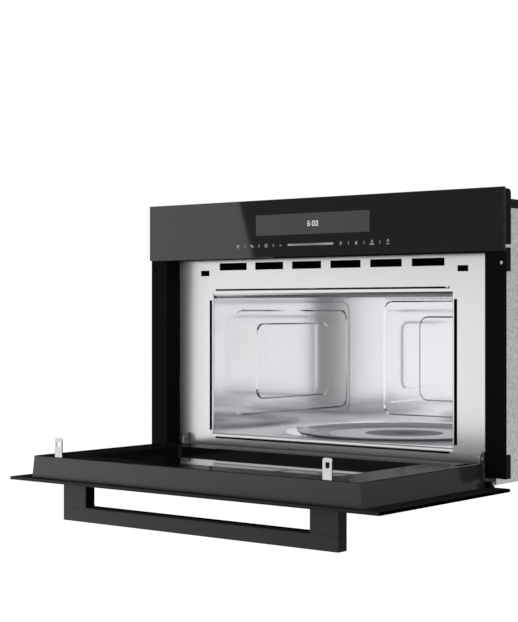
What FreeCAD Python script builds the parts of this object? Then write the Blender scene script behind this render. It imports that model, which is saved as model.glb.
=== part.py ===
import FreeCAD, Part
import math
import os

# Built-in microwave oven with a drop-down door, modelled with the door open.
# Frame: X to the right of a person facing the front, Y into the cabinet, Z up, in millimetres.
# Origin: on the niche floor, in the plane of the cabinet front, midway across the niche.
# Left and right are as that person sees them, so left is on the side of negative X.

V = FreeCAD.Vector

# General
overrun = 2.0
seat_gap = 0.3
running_fit = 0.05

# Overall sizes
front_width = 595.0
front_rise = 11.7
front_proud = 20.0
case_inset = 20.5
case_height = 360.3
case_depth = 450.0
case_sheet = 0.8
base_sheet = 1.2
case_front = -4.0
cover_lap = 11.5

# Control panel
panel_height = 80.2
panel_glass = 4.0
panel_edge = 0.6
carrier_inset = 1.0
carrier_drop = 2.0
carrier_height = 69.1
carrier_rear = -1.4
carrier_wall = 2.0
carrier_round = 6.0
skirt_drop = 1.3
skirt_gap = 0.4
display_width = 191.8
display_height = 28.6
display_drop = 33.6
display_depth = 9.0
touch_width = 280.0
touch_height = 14.0
touch_board = 1.6

# Stainless front frame
frame_set_back = 13.6
frame_sheet = 1.0
frame_return = 12.0
lip_top = 10.0
lip_side = 1.8
lip_bottom = 4.0
lip_steps = 5
lip_flat = 0.8
side_lip_flat = 0.9
vent_count = 6
vent_height = 10.5
vent_bar = 15.7
vent_drop = 9.95
vent_end = 27.55
slit_width = 2.6
slit_end = 4.0
side_slit_width = 4.8
side_slit_low = 4.2
side_slit_high = 2.9

# Oven cavity
cavity_side_space = 75.0
cavity_top_space = 124.0
cavity_rear_space = 46.4
cavity_floor = 40.7
wall = 0.8
press_depth = 1.6
press_slope = 2.4
press_corner = 16.0
side_margin_front = 48.5
side_margin_rear = 54.5
side_margin_low = 21.9
side_margin_high = 16.4
side_step_front = 51.0
side_step_rear = 49.0
side_step_low = 22.0
side_step_high = 20.2
rear_margin_side = 33.9
rear_margin_low = 7.5
rear_margin_high = 1.5
rear_step_side = 68.8
rear_step_low = 25.4
rear_step_high = 25.1

# Turntable
recess_margin = 20.5
recess_depth = 20.0
recess_slope = 12.0
plate_gap = 16.5
plate_glass = 4.0
plate_rise = 6.0
plate_rim = 14.0
plate_lip = 2.0
ring_gap = 42.5
ring_width = 12.0
ring_height = 7.0
roller_count = 3
roller_radius = 6.7
roller_width = 8.0
roller_clear = 0.8
axle_radius = 2.0
axle_head = 3.2
axle_head_length = 1.5
coupler_radius = 11.0
coupler_height = 10.0
coupler_lobe_length = 20.0
coupler_lobe_width = 8.0
shaft_radius = 3.5
lug_radius = 17.0
lug_size = 3.0
lug_length = 6.0
motor_radius = 25.0
motor_height = 15.0
motor_ear_length = 68.0
motor_ear_width = 14.0
motor_ear = 1.0

# Side trims
trim_width = 30.1
trim_front = -15.3
trim_plate = 1.1
trim_wall = 1.2
trim_bottom = 9.4
trim_gap = 4.2
ear_height = 29.6
ear_rear = -3.8
ear_wall = 2.0
ear_inner_clear = 1.5
screw_inset = 7.0
screw_drop = 18.7
screw_radius = 2.25

# Door, given as it stands when closed
hinge_y = -11.4
hinge_z = 1.5
door_top_gap = 7.8
door_drop = 4.5
door_glass = 4.0
door_edge = 0.6
door_side_gap = 4.6
door_frame_draft = 4.2
door_frame_bottom = 4.9
door_frame_drop = 11.5
door_soft = 0.6
door_face_gap = 0.5
door_rim = 3.0
door_wall = 2.5
window_margin_side = 58.8
window_margin_low = 44.0
window_margin_high = 40.0
window_corner = 8.0
pane_glass = 3.0
pane_sink = 8.0
screen_sheet = 0.8
screen_rows = 4
screen_columns = 9
screen_hole_share = 0.6
screen_field_share = 0.86

# Handle
handle_end = 74.0
handle_depth = 18.4
handle_height = 17.2
handle_stand = 32.4
handle_slant = 1.7
handle_post = 41.4
handle_drop = 35.1
handle_edge = 0.8
upright_share = 0.5
handle_screw = 2.5
handle_screw_head = 5.0
handle_screw_head_height = 3.0
handle_screw_grip = 14.0

# Latch tongues and interlocks
latch_inset = 44.8
latch_slot_width = 16.0
latch_slot_height = 8.0
tongue_width = 13.1
tongue_sheet = 1.5
tongue_drop = 0.7
tongue_tip = 38.2
tongue_root = -1.2
tongue_corner = 3.0
tongue_hole_width = 6.8
tongue_hole_height = 7.5
tongue_hole_drop = 4.9
latch_slot_drop = 3.0
interlock_width = 34.0
interlock_height = 30.0
interlock_length = 60.0
interlock_drop = 15.8
plunger_width = 8.0
plunger_height = 7.4
plunger_rest = 36.1
plunger_length = 22.0
plunger_travel = 2.2
plunger_guide = 8.0
switch_length = 16.0
switch_width = 9.0

# Hinges
hinge_inset = 18.1
hinge_plate = 3.0
hinge_lobe = 4.2
hinge_knee_z = 9.2
hinge_hook_y = 6.9
hinge_hook_z = 31.5
hinge_hook = 6.4
hinge_tail_y = 44.0
hinge_tail = 8.0
hinge_eye = 5.2
hinge_eye_height = 6.4
hinge_slot_gap = 1.6
hinge_flange_width = 24.0
hinge_flange = 2.0
hinge_flange_margin = 8.0
hinge_notch_gap = 3.6
hinge_notch_reach = 5.0
hinge_pin = 2.2
hinge_pin_reach = 1.0
hinge_pin_inner = 3.0
hinge_block_radius = 3.3
hinge_block_inset = 1.5
hinge_block_gap = 0.7
base_notch_depth = 9.0

# Rear panel
grille_slots = 11
grille_slot = 4.0
grille_pitch = 9.0
grille_height = 88.0
side_vent_length = 60.0
side_vent_height = 4.0
side_vent_pitch = 9.0
side_vent_inset = 120.0
side_vent_low = 20.0
side_vent_high = 23.5
gland_inset = 71.2
gland_z = 62.0
gland_bore = 5.0
gland_body = 9.0
gland_flange = 13.0
gland_flange_thick = 2.0
gland_inside = 10.0
rear_screw_head = 4.0
rear_screw_head_height = 2.0
rear_screw_shank = 1.8
rear_screw_length = 7.0
rear_screw_margin = 14.0

# Cooling fan
fan_inset = 82.0
fan_radius = 50.0
fan_tip_clear = 3.0
fan_plate = 2.0
fan_plate_width = 132.0
fan_plate_back = 6.0
fan_ring = 10.0
fan_hub = 15.0
fan_depth = 18.0
fan_blades = 7
fan_blade = 1.6
fan_blade_lean = 48.0
fan_gap = 3.0
fan_root_sink = 2.0
fan_motor_radius = 24.0
fan_motor_length = 25.0
fan_motor_nose = 8.0
fan_motor_nose_length = 2.0
fan_shaft = 3.0

# Microwave source
guide_depth = 40.0
guide_width = 90.0
guide_drop = 116.3
guide_rise = 39.0
guide_sheet = 1.0
feed_height = 56.0
feed_width = 70.0
feed_margin = 12.0
mica_sheet = 0.8
mica_margin = 9.0
tube_length = 88.0
tube_width = 84.0
tube_height = 80.0
tube_drop = 2.3
tube_yoke = 2.0
tube_core = 22.0
tube_fins = 6
tube_fin = 0.8
tube_fin_pitch = 11.0
antenna_radius = 9.0
antenna_length = 22.0
antenna_tip = 6.0

# Boards and tray above the cavity
tray_sheet = 1.0
tray_stand = 6.0
tray_inset = 2.0
tray_gap = 22.8
tray_set_back = 77.4
tray_end = 18.6
board = 1.6
post_width = 5.0
post_height = 6.0
post_margin = 7.0
inverter_width = 150.0
inverter_length = 140.0
inverter_margin = 12.0
inverter_end = 55.0
sink_fins = 8
sink_fin = 2.0
sink_height = 38.0
sink_base = 4.0
coil_radius = 22.0
coil_height = 34.0
capacitors = 3
capacitor_radius = 9.0
capacitor_height = 26.0
capacitor_pitch = 24.0
filter_size = 80.0
filter_margin = 10.0
filter_start = 6.0
choke_radius = 15.0
choke_bore = 7.0
choke_height = 12.0
duct_sheet = 1.0
duct_margin = 5.55
duct_depth = 64.0
duct_above = 4.0
duct_mouth = 30.0
lamp_inset = 73.6
lamp_drop = 46.3
lamp_bulb = 9.0
lamp_bulb_length = 20.0
lamp_bulb_tip = 4.5
lamp_base = 13.0
lamp_base_length = 18.0
lamp_plate = 44.0
lamp_plate_sheet = 1.2
lamp_holes = 4
lamp_hole = 1.8
lamp_hole_pitch = 6.0
cutout_radius = 8.0
cutout_height = 9.0
cutout_flange = 24.0
cutout_flange_width = 10.0
cutout_flange_sheet = 1.0
cutout_inset = 52.8
cutout_start = 28.0

# Sides of the few-sided bars that stand for small round pieces, and steps in a rounded corner
small_sides = 8
middle_sides = 16
large_sides = 48
corner_steps = 4
link_steps = 6

# Limits worked out from the sizes above
half_front = front_width / 2
case_width = front_width - case_inset * 2
half_case = case_width / 2
half_inner = half_case - case_sheet
roof = case_height - case_sheet
rear_inner = case_depth - case_sheet
front_top = case_height + front_rise
panel_bottom = front_top - panel_height
panel_rear = panel_glass - front_proud
carrier_top = front_top - carrier_drop
carrier_bottom = carrier_top - carrier_height
display_z = front_top - display_drop
frame_back = frame_set_back + frame_sheet
cavity_width = case_width - cavity_side_space * 2
half_cavity = cavity_width / 2
cavity_rear = case_depth - cavity_rear_space
cavity_depth = cavity_rear - frame_back
cavity_top = case_height - cavity_top_space
ceiling_top = cavity_top + wall
turn_y = frame_back + cavity_depth / 2
recess_radius = min(cavity_width, cavity_depth) / 2 - recess_margin
recess_z = cavity_floor - recess_depth
plate_radius = recess_radius - plate_gap
ring_radius = plate_radius - ring_gap
roller_z = recess_z + roller_radius + seat_gap
plate_z = roller_z + roller_radius + seat_gap
trim_inner = half_front - trim_width
trim_top = carrier_bottom - trim_gap
screw_x = half_front - screw_inset
screw_z = trim_top - screw_drop
door_top = panel_bottom - door_top_gap
door_frame_width = (trim_inner - door_side_gap) * 2
door_frame_top = door_top - door_frame_drop
door_frame_front = door_glass - front_proud
door_frame_face = frame_set_back - door_face_gap
window_width = door_frame_width - window_margin_side * 2
handle_length = front_width - handle_end * 2
handle_z = door_top - handle_drop
latch_x = door_frame_width / 2 - latch_inset
tongue_top = door_frame_top - tongue_drop
latch_slot_z = tongue_top + latch_slot_height / 2 - latch_slot_drop
interlock_bottom = latch_slot_z - interlock_drop
hinge_x = trim_inner - hinge_inset
hinge_pin_end = half_case + hinge_pin_reach
hinge_block_end = half_case - hinge_block_inset
vent_z = panel_bottom - vent_drop
vent_field = (latch_x - vent_end) * 2
vent_width = (vent_field - vent_bar * (vent_count - 1)) / vent_count
vent_pitch = vent_width + vent_bar
duct_width = vent_field + duct_margin * 2
side_vent_y = case_depth - side_vent_inset
side_vent_z = ceiling_top + side_vent_low
side_vents = int((roof - side_vent_high - side_vent_z) / side_vent_pitch) + 1
gland_x = half_inner - gland_inset
fan_x = fan_inset - half_cavity
fan_z = (ceiling_top + roof) / 2
fan_plate_y = cavity_rear - fan_plate_back
impeller_y = fan_plate_y + fan_plate + fan_gap
motor_front = rear_inner - fan_motor_length
tube_z = fan_z - tube_drop
guide_x = half_cavity + wall
guide_end = guide_x + guide_depth
guide_bottom = cavity_top - guide_drop
guide_top = tube_z + guide_rise
tray_z = ceiling_top + tray_stand
tray_left = tray_inset - half_cavity
tray_right = guide_x - tube_length - tray_gap
tray_front = frame_back + tray_set_back
tray_rear = cavity_rear - tray_end
inverter_x = (tray_right - inverter_margin - inverter_width, tray_right - inverter_margin)
inverter_y = (tray_rear - inverter_end - inverter_length, tray_rear - inverter_end)
filter_x = (tray_left + filter_margin, tray_left + filter_margin + filter_size)
filter_y = (tray_front + filter_start, tray_front + filter_start + filter_size)
lamp_y = cavity_rear - lamp_inset
lamp_z = cavity_top - lamp_drop
cutout_x = guide_x - cutout_inset
cutout_y = tray_front + cutout_start


def pair(centre, size):
    """Low and high limit of a size laid evenly about a centre."""
    return (centre - size / 2, centre + size / 2)


def grown(limits, margin):
    """Limits moved apart by a margin at both ends, or together by a negative one."""
    return (limits[0] - margin, limits[1] + margin)


def door_y(closed_z):
    """Place along Y, on the open door, of a height on the closed door."""
    return hinge_y - (closed_z - hinge_z)


def door_z(closed_y):
    """Height, on the open door, of a place along Y on the closed door."""
    return hinge_z + (closed_y - hinge_y)


def place(axis, level, a, b):
    """Point at a level on one axis, with the other two coordinates in the order x, y, z."""
    return {"x": V(level, a, b), "y": V(a, level, b), "z": V(a, b, level)}[axis]


def block(x, y, z):
    """Rectangular solid between three pairs of limits."""
    return Part.makeBox(x[1] - x[0], y[1] - y[0], z[1] - z[0], V(x[0], y[0], z[0]))


def rod(axis, levels, a, b, radius):
    """Round bar along an axis."""
    start = place(axis, levels[0], a, b)
    return Part.makeCylinder(radius, levels[1] - levels[0], start, place(axis, 1, 0, 0))


def corners_round(axis, level, a, b, radius, sides):
    """Points of a regular polygon whose corners lie on a radius, square to an axis."""
    points = []
    for index in range(sides):
        angle = 2 * math.pi * (index + 0.5) / sides
        points.append(place(axis, level, a + radius * math.cos(angle), b + radius * math.sin(angle)))
    return points


def outline(points):
    """Closed wire through points."""
    return Part.makePolygon(points + points[:1])


def prism(axis, levels, a, b, radius, sides):
    """Few-sided bar along an axis, its corners on a radius."""
    face = Part.Face(outline(corners_round(axis, levels[0], a, b, radius, sides)))
    return face.extrude(place(axis, levels[1] - levels[0], 0, 0))


def clear(radius, sides):
    """Radius at the corners of a polygon whose flats just clear a round bar."""
    return radius / math.cos(math.pi / sides)


def stepped(axis, steps, a, b, sides):
    """Few-sided body of revolution through pairs of level and radius."""
    wires = [outline(corners_round(axis, level, a, b, radius, sides)) for level, radius in steps]
    return Part.makeLoft(wires, True, True)


def rounded_wire(axis, level, a, b, radius):
    """Closed rectangle with corners rounded in short steps, square to an axis."""
    middles = [(a[1] - radius, b[1] - radius), (a[0] + radius, b[1] - radius),
               (a[0] + radius, b[0] + radius), (a[1] - radius, b[0] + radius)]
    points = []
    for quarter, (u, v) in enumerate(middles):
        for step in range(corner_steps + 1):
            angle = math.pi / 2 * (quarter + step / corner_steps)
            points.append(place(axis, level, u + radius * math.cos(angle), v + radius * math.sin(angle)))
    return outline(points)


def slab(axis, levels, a, b, radius):
    """Flat plate with round corners between two levels on an axis."""
    face = Part.Face(rounded_wire(axis, levels[0], a, b, radius))
    return face.extrude(place(axis, levels[1] - levels[0], 0, 0))


def tapered(axis, levels, a, b, radius, slope):
    """Plate with round corners that draws in by a slope from its first level to its second."""
    wide = rounded_wire(axis, levels[0], a, b, radius)
    narrow = rounded_wire(axis, levels[1], grown(a, -slope), grown(b, -slope), radius - slope)
    return Part.makeLoft([wide, narrow], True, True)


def pressed(sheet, axis, face, thickness, travel, a, b):
    """Sheet with a field pushed along an axis, thickness being signed from the face to the back."""
    back = face + thickness
    gauge = abs(thickness)
    if travel * thickness > 0:
        outer = tapered(axis, (back, back + travel), grown(a, gauge), grown(b, gauge),
                        press_corner + gauge, press_slope)
        inner = tapered(axis, (face, face + travel), a, b, press_corner, press_slope)
    else:
        outer = tapered(axis, (face, face + travel), a, b, press_corner, press_slope)
        inner = tapered(axis, (back, back + travel), grown(a, -gauge), grown(b, -gauge),
                        press_corner - gauge, press_slope)
    return sheet.fuse(outer).cut(inner)


def link(levels, start, end):
    """Plate across X whose outline wraps two circles, each given as y, z and radius."""
    (y0, z0, r0), (y1, z1, r1) = start, end
    course = math.atan2(z1 - z0, y1 - y0)
    lean = math.acos((r0 - r1) / math.hypot(y1 - y0, z1 - z0))

    def rim(y, z, radius, angle):
        return V(levels[0], y + radius * math.cos(angle), z + radius * math.sin(angle))

    points = []
    for step in range(link_steps + 1):
        points.append(rim(y1, z1, r1, course + lean * (1 - 2 * step / link_steps)))
    for step in range(link_steps + 1):
        points.append(rim(y0, z0, r0, course - lean - 2 * (math.pi - lean) * step / link_steps))
    return Part.Face(outline(points)).extrude(V(levels[1] - levels[0], 0, 0))


def keyhole(axis, levels, a, b, width, height):
    """Space of a hole that is flat on top and round below, about its middle."""
    radius = width / 2
    top = b + height / 2
    low = b - height / 2 + radius
    points = [place(axis, levels[0], a + radius, top), place(axis, levels[0], a - radius, top)]
    for step in range(link_steps + 1):
        angle = math.pi * (1 + step / link_steps)
        points.append(place(axis, levels[0], a + radius * math.cos(angle), low + radius * math.sin(angle)))
    return Part.Face(outline(points)).extrude(place(axis, levels[1] - levels[0], 0, 0))


def joined(solids):
    """One solid from pieces that meet."""
    return solids[0].multiFuse(solids[1:]).removeSplitter()


def mirrored(solid):
    """The same piece for the left side."""
    return solid.mirror(V(0, 0, 0), V(1, 0, 0))


def softened(solid, size):
    """Solid with all its edges broken by a small chamfer."""
    return solid.makeChamfer(size, solid.Edges)


def turned(solid, angle):
    """Solid turned about the turntable's upright axis, in degrees."""
    copy = solid.copy()
    copy.rotate(V(0, turn_y, 0), V(0, 0, 1), angle)
    return copy


def control_panel_glass():
    """Flat pane across the top of the front."""
    pane = block((-half_front, half_front), (-front_proud, panel_rear), (panel_bottom, front_top))
    return softened(pane, panel_edge)


def control_panel_carrier():
    """Moulded tray, open at the rear, that carries the control glass, with a skirt just below its edge."""
    x = (-half_front + carrier_inset, half_front - carrier_inset)
    shell = block(x, (panel_rear, carrier_rear), (carrier_bottom, carrier_top))
    rear_edge = [edge for edge in shell.Edges
                 if abs(edge.CenterOfMass.y - carrier_rear) < running_fit
                 and abs(edge.CenterOfMass.z - carrier_top) < running_fit]
    shell = shell.makeFillet(carrier_round, rear_edge)
    pocket = block(grown(x, -carrier_wall), (panel_rear + carrier_wall, carrier_rear + overrun),
                   (carrier_bottom + carrier_wall, carrier_top - carrier_wall - carrier_round))
    window = block(pair(0, display_width), (panel_rear - overrun, carrier_rear),
                   pair(display_z, display_height))
    shell = shell.cut(pocket).cut(window)
    skirt = block(grown((-trim_inner, trim_inner), -skirt_gap), (panel_rear, panel_rear + carrier_wall),
                  (panel_bottom - skirt_drop, carrier_bottom))
    return joined([shell, skirt])


def display_module():
    """Display that stands in the carrier's window, against the glass."""
    body = block(grown(pair(0, display_width), -seat_gap), (panel_rear, panel_rear + display_depth),
                 grown(pair(display_z, display_height), -seat_gap))
    back_width = display_width + carrier_wall * 2
    back_height = display_height + carrier_wall * 2
    back = block(pair(0, back_width), (panel_rear + carrier_wall, panel_rear + display_depth),
                 pair(display_z, back_height))
    return joined([body, back])


def touch_sensor_board():
    """Board on the carrier's front wall, behind the row of touch symbols."""
    low = carrier_bottom + carrier_wall
    return block(pair(0, touch_width), (panel_rear + carrier_wall, panel_rear + carrier_wall + touch_board),
                 (low, low + touch_height))


def hinge_slot_height():
    """Height of the opening that a hinge arm passes through."""
    return (hinge_hook + hinge_slot_gap) * 2


def lip_section(radius):
    """Quarter ring of sheet: reaches to the front and to the mouth from the centre of the bend."""
    angles = [math.pi / 2 * step / lip_steps for step in range(lip_steps + 1)]
    inner = radius - frame_sheet
    return ([(radius * math.cos(angle), radius * math.sin(angle)) for angle in angles]
            + [(inner * math.cos(angle), inner * math.sin(angle)) for angle in reversed(angles)])


def mitred(bar, corners):
    """Part of a lip that stands within four corners, given as x and z."""
    start = frame_set_back - overrun
    field = Part.Face(outline([V(x, start, z) for x, z in corners]))
    return bar.common(field.extrude(V(0, lip_top + overrun * 2, 0)))


def level_lip(z, way, radius):
    """Rolled edge along the top or the bottom of the mouth, bending up or down to the mouth."""
    edge = half_cavity + lip_side
    bend_z = z - way * radius
    bend_y = frame_set_back + radius
    points = [V(-edge, bend_y - front, bend_z + way * mouth) for front, mouth in lip_section(radius)]
    bar = Part.Face(outline(points)).extrude(V(edge * 2, 0, 0))
    return mitred(bar, [(-edge, bend_z), (edge, bend_z), (half_cavity, z), (-half_cavity, z)])


def upright_lip(side):
    """Rolled edge along one side of the mouth."""
    edge = half_cavity + lip_side
    low = cavity_floor - lip_bottom
    high = cavity_top + lip_top
    bend_y = frame_set_back + lip_side
    points = [V(side * (edge - mouth), bend_y - front, low) for front, mouth in lip_section(lip_side)]
    bar = Part.Face(outline(points)).extrude(V(0, 0, high - low))
    return mitred(bar, [(side * edge, low), (side * edge, high), (side * half_cavity, cavity_top),
                        (side * half_cavity, cavity_floor)])


def front_frame():
    """Stainless sheet folded back along its edges, with a rolled lip round the oven mouth."""
    x = (-half_inner, half_inner)
    z = (base_sheet, roof)
    y = (frame_set_back, frame_back + frame_return)
    through = (frame_set_back - overrun, frame_back + overrun)
    mouth_x = half_cavity + lip_side
    mouth_z = (cavity_floor - lip_bottom, cavity_top + lip_top)
    cuts = [block(grown(x, -frame_sheet), (frame_back, y[1] + overrun), grown(z, -frame_sheet))]
    cuts.append(block((-mouth_x, mouth_x), through, mouth_z))
    for index in range(vent_count):
        vent_x = (index - (vent_count - 1) / 2) * vent_pitch
        cuts.append(block(pair(vent_x, vent_width), through, pair(vent_z, vent_height)))
    slit_x = grown((-half_cavity, half_cavity), -slit_end)
    slit_top = mouth_z[1] + lip_flat
    slit_bottom = mouth_z[0] - lip_flat
    cuts.append(block(slit_x, through, (slit_top, slit_top + slit_width)))
    cuts.append(block(slit_x, through, (slit_bottom - slit_width, slit_bottom)))
    for side in (-1, 1):
        middle = side * (mouth_x + side_lip_flat + side_slit_width / 2)
        cuts.append(block(pair(middle, side_slit_width), through,
                          (cavity_floor + side_slit_low, cavity_top - side_slit_high)))
        cuts.append(block(pair(side * latch_x, latch_slot_width), through,
                          pair(latch_slot_z, latch_slot_height)))
        cuts.append(block(pair(side * hinge_x, hinge_plate + hinge_slot_gap * 2), through,
                          pair(hinge_hook_z, hinge_slot_height())))
    sheet = block(x, y, z).cut(Part.makeCompound(cuts))
    lips = [level_lip(cavity_top, -1, lip_top), level_lip(cavity_floor, 1, lip_bottom)]
    return joined([sheet] + lips + [upright_lip(-1), upright_lip(1)])


def side_wall_limits():
    """Limits of a cavity side wall along Y and Z, behind the rolled lip."""
    return (frame_set_back + lip_side, cavity_rear), (cavity_floor, cavity_top)


def cavity_left_wall():
    """Side wall with a stepped pressing."""
    y, z = side_wall_limits()
    sheet = block((-half_cavity - wall, -half_cavity), y, z)
    outer_y = (frame_back + side_margin_front, cavity_rear - side_margin_rear)
    outer_z = (z[0] + side_margin_low, z[1] - side_margin_high)
    sheet = pressed(sheet, "x", -half_cavity, -wall, -press_depth, outer_y, outer_z)
    inner_y = (outer_y[0] + side_step_front, outer_y[1] - side_step_rear)
    inner_z = (outer_z[0] + side_step_low, outer_z[1] - side_step_high)
    return pressed(sheet, "x", -half_cavity - press_depth, -wall, press_depth, inner_y, inner_z)


def cavity_right_wall():
    """Side wall with the feed opening and the holes that the lamp shines through."""
    y, z = side_wall_limits()
    sheet = block((half_cavity, half_cavity + wall), y, z)
    through = (half_cavity - overrun, half_cavity + wall + overrun)
    cuts = [feed_opening(through)]
    for row in range(lamp_holes):
        for column in range(lamp_holes):
            shift = (lamp_holes - 1) / 2
            hole_y = lamp_y + (column - shift) * lamp_hole_pitch
            hole_z = lamp_z + (row - shift) * lamp_hole_pitch
            cuts.append(block(through, pair(hole_y, lamp_hole * 2), pair(hole_z, lamp_hole * 2)))
    return sheet.cut(Part.makeCompound(cuts))


def feed_opening(x):
    """Space of the opening from the waveguide into the cavity."""
    low = guide_bottom + feed_margin
    return block(x, pair(turn_y, feed_width), (low, low + feed_height))


def cavity_ceiling():
    """Flat sheet over both side walls and the rear wall."""
    return block(pair(0, (half_cavity + wall) * 2), (frame_set_back + lip_top, cavity_rear + wall),
                 (cavity_top, ceiling_top))


def cavity_rear_wall():
    """Rear wall with a stepped pressing."""
    x = (-half_cavity, half_cavity)
    z = (cavity_floor, cavity_top)
    sheet = block(x, (cavity_rear, cavity_rear + wall), z)
    outer_x = grown(x, -rear_margin_side)
    outer_z = (z[0] + rear_margin_low, z[1] - rear_margin_high)
    sheet = pressed(sheet, "y", cavity_rear, wall, press_depth, outer_x, outer_z)
    inner_x = grown(outer_x, -rear_step_side)
    inner_z = (outer_z[0] + rear_step_low, outer_z[1] - rear_step_high)
    return pressed(sheet, "y", cavity_rear + press_depth, wall, -press_depth, inner_x, inner_z)


def cavity_floor_pan():
    """Floor sheet with the round recess of the turntable."""
    sheet = block(pair(0, (half_cavity + wall) * 2), (frame_set_back + lip_bottom, cavity_rear + wall),
                  (cavity_floor - wall, cavity_floor))
    flat = recess_radius - recess_slope
    bowl = stepped("z", [(cavity_floor - wall, recess_radius + wall), (recess_z - wall, flat + wall)],
                   0, turn_y, large_sides)
    hollow = stepped("z", [(cavity_floor, recess_radius), (recess_z, flat)], 0, turn_y, large_sides)
    bore = prism("z", (recess_z - wall - overrun, cavity_floor + overrun), 0, turn_y,
                 clear(shaft_radius + seat_gap, middle_sides), middle_sides)
    return sheet.fuse(bowl).cut(hollow).cut(bore)


def turntable_motor():
    """Flat synchronous motor screwed under the recess."""
    top = recess_z - wall
    body = prism("z", (top - motor_height, top), 0, turn_y, motor_radius, middle_sides)
    ears = block(pair(0, motor_ear_length), pair(turn_y, motor_ear_width), (top - motor_ear, top))
    bore = prism("z", (top - motor_height / 2, top + overrun), 0, turn_y,
                 clear(shaft_radius + running_fit, middle_sides), middle_sides)
    return joined([body, ears]).cut(bore)


def turntable_coupler():
    """Three-lobed driver on the motor's shaft."""
    low = recess_z + seat_gap
    z = (low, low + coupler_height)
    solids = [prism("z", z, 0, turn_y, coupler_radius, middle_sides)]
    solids.append(prism("z", (recess_z - wall - motor_height / 2 + seat_gap, low), 0, turn_y, shaft_radius,
                        middle_sides))
    lobe = block((0, coupler_lobe_length), pair(turn_y, coupler_lobe_width), z)
    for index in range(roller_count):
        solids.append(turned(lobe, index * 360 / roller_count))
    return joined(solids)


def glass_turntable():
    """Shallow glass plate with a raised rim and three driving lugs below."""
    flat = plate_radius - plate_rim
    rim = plate_z + plate_rise
    plate = stepped("z", [(plate_z, flat), (rim, plate_radius), (rim + plate_lip, plate_radius)],
                    0, turn_y, large_sides)
    steps = [(plate_z + plate_glass, flat - plate_lip), (rim + plate_lip, plate_radius - plate_lip)]
    bowl = stepped("z", steps, 0, turn_y, large_sides)
    solids = [plate.cut(bowl)]
    lug = prism("z", (plate_z - lug_length, plate_z), lug_radius, turn_y, lug_size, small_sides)
    for index in range(roller_count):
        solids.append(turned(lug, (index + 0.5) * 360 / roller_count))
    return joined(solids)


def roller_ring():
    """Plastic ring with a headed axle for each roller."""
    outer = ring_radius + ring_width / 2
    z = pair(roller_z, ring_height)
    ring = prism("z", z, 0, turn_y, outer, large_sides)
    solids = [ring.cut(prism("z", grown(z, overrun), 0, turn_y, outer - ring_width, large_sides))]
    end = outer + roller_width + roller_clear * 2
    tip = end + axle_head_length
    axle = prism("x", (outer - ring_width / 2, tip), turn_y, roller_z, axle_radius, small_sides)
    head = prism("x", (end, tip), turn_y, roller_z, axle_head, small_sides)
    for index in range(roller_count):
        solids.append(turned(axle, index * 360 / roller_count))
        solids.append(turned(head, index * 360 / roller_count))
    return joined(solids)


def roller(index):
    """Wheel that runs on the floor and carries the glass plate."""
    start = ring_radius + ring_width / 2 + roller_clear
    x = (start, start + roller_width)
    wheel = prism("x", x, turn_y, roller_z, roller_radius, middle_sides)
    bore_radius = clear(axle_radius + running_fit, small_sides)
    bore = prism("x", grown(x, overrun), turn_y, roller_z, bore_radius, small_sides)
    return turned(wheel.cut(bore), index * 360 / roller_count)


def right_side_trim():
    """Black moulded strip beside the oven mouth, with two deep ears."""
    z = (trim_bottom, trim_top)
    back = trim_front + trim_plate
    plate = block((trim_inner, half_front), (trim_front, back), z)
    cheek = block((trim_inner, trim_inner + trim_wall), (trim_front, frame_set_back), z)
    solids = [plate, cheek]
    ear_x = (half_case + ear_inner_clear, half_front)
    for low in (trim_bottom, trim_top - ear_height):
        ear_z = (low, low + ear_height)
        ear = block(ear_x, (back, ear_rear), ear_z)
        pocket = block(grown(ear_x, -ear_wall), (back, ear_rear + overrun), grown(ear_z, -ear_wall))
        solids.append(ear.cut(pocket))
    hole = rod("y", (trim_front - overrun, ear_rear + overrun), screw_x, screw_z, screw_radius)
    return joined(solids).cut(hole)


def right_case_side():
    """Galvanised side sheet, set back behind the control panel, with a field of air slots."""
    x = (half_inner, half_case)
    sheet = block(x, (case_front, case_depth), (base_sheet, roof))
    through = grown(x, overrun)
    step = block(through, (case_front - overrun, carrier_rear), (trim_top + seat_gap, roof + overrun))
    cuts = [step]
    for index in range(side_vents):
        slot_z = side_vent_z + index * side_vent_pitch
        cuts.append(block(through, pair(side_vent_y, side_vent_length), pair(slot_z, side_vent_height)))
    return sheet.cut(Part.makeCompound(cuts))


def top_cover():
    """Black lid whose edges lap over the side sheets."""
    outer = half_case + case_sheet
    y = (carrier_rear, case_depth)
    lid = block((-outer, outer), y, (case_height - cover_lap, case_height))
    under = (case_height - cover_lap - overrun, roof)
    return lid.cut(block((-half_case, half_case), grown(y, overrun), under))


def base_plate():
    """Bottom sheet, notched at the front for the hinge arms."""
    sheet = block((-half_case, half_case), (case_front, case_depth), (0, base_sheet))
    notch_width = hinge_plate + hinge_notch_gap * 2
    notches = [block(pair(side * hinge_x, notch_width), (case_front - overrun, case_front + base_notch_depth),
                     (-overrun, base_sheet + overrun)) for side in (-1, 1)]
    return sheet.cut(Part.makeCompound(notches))


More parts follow.
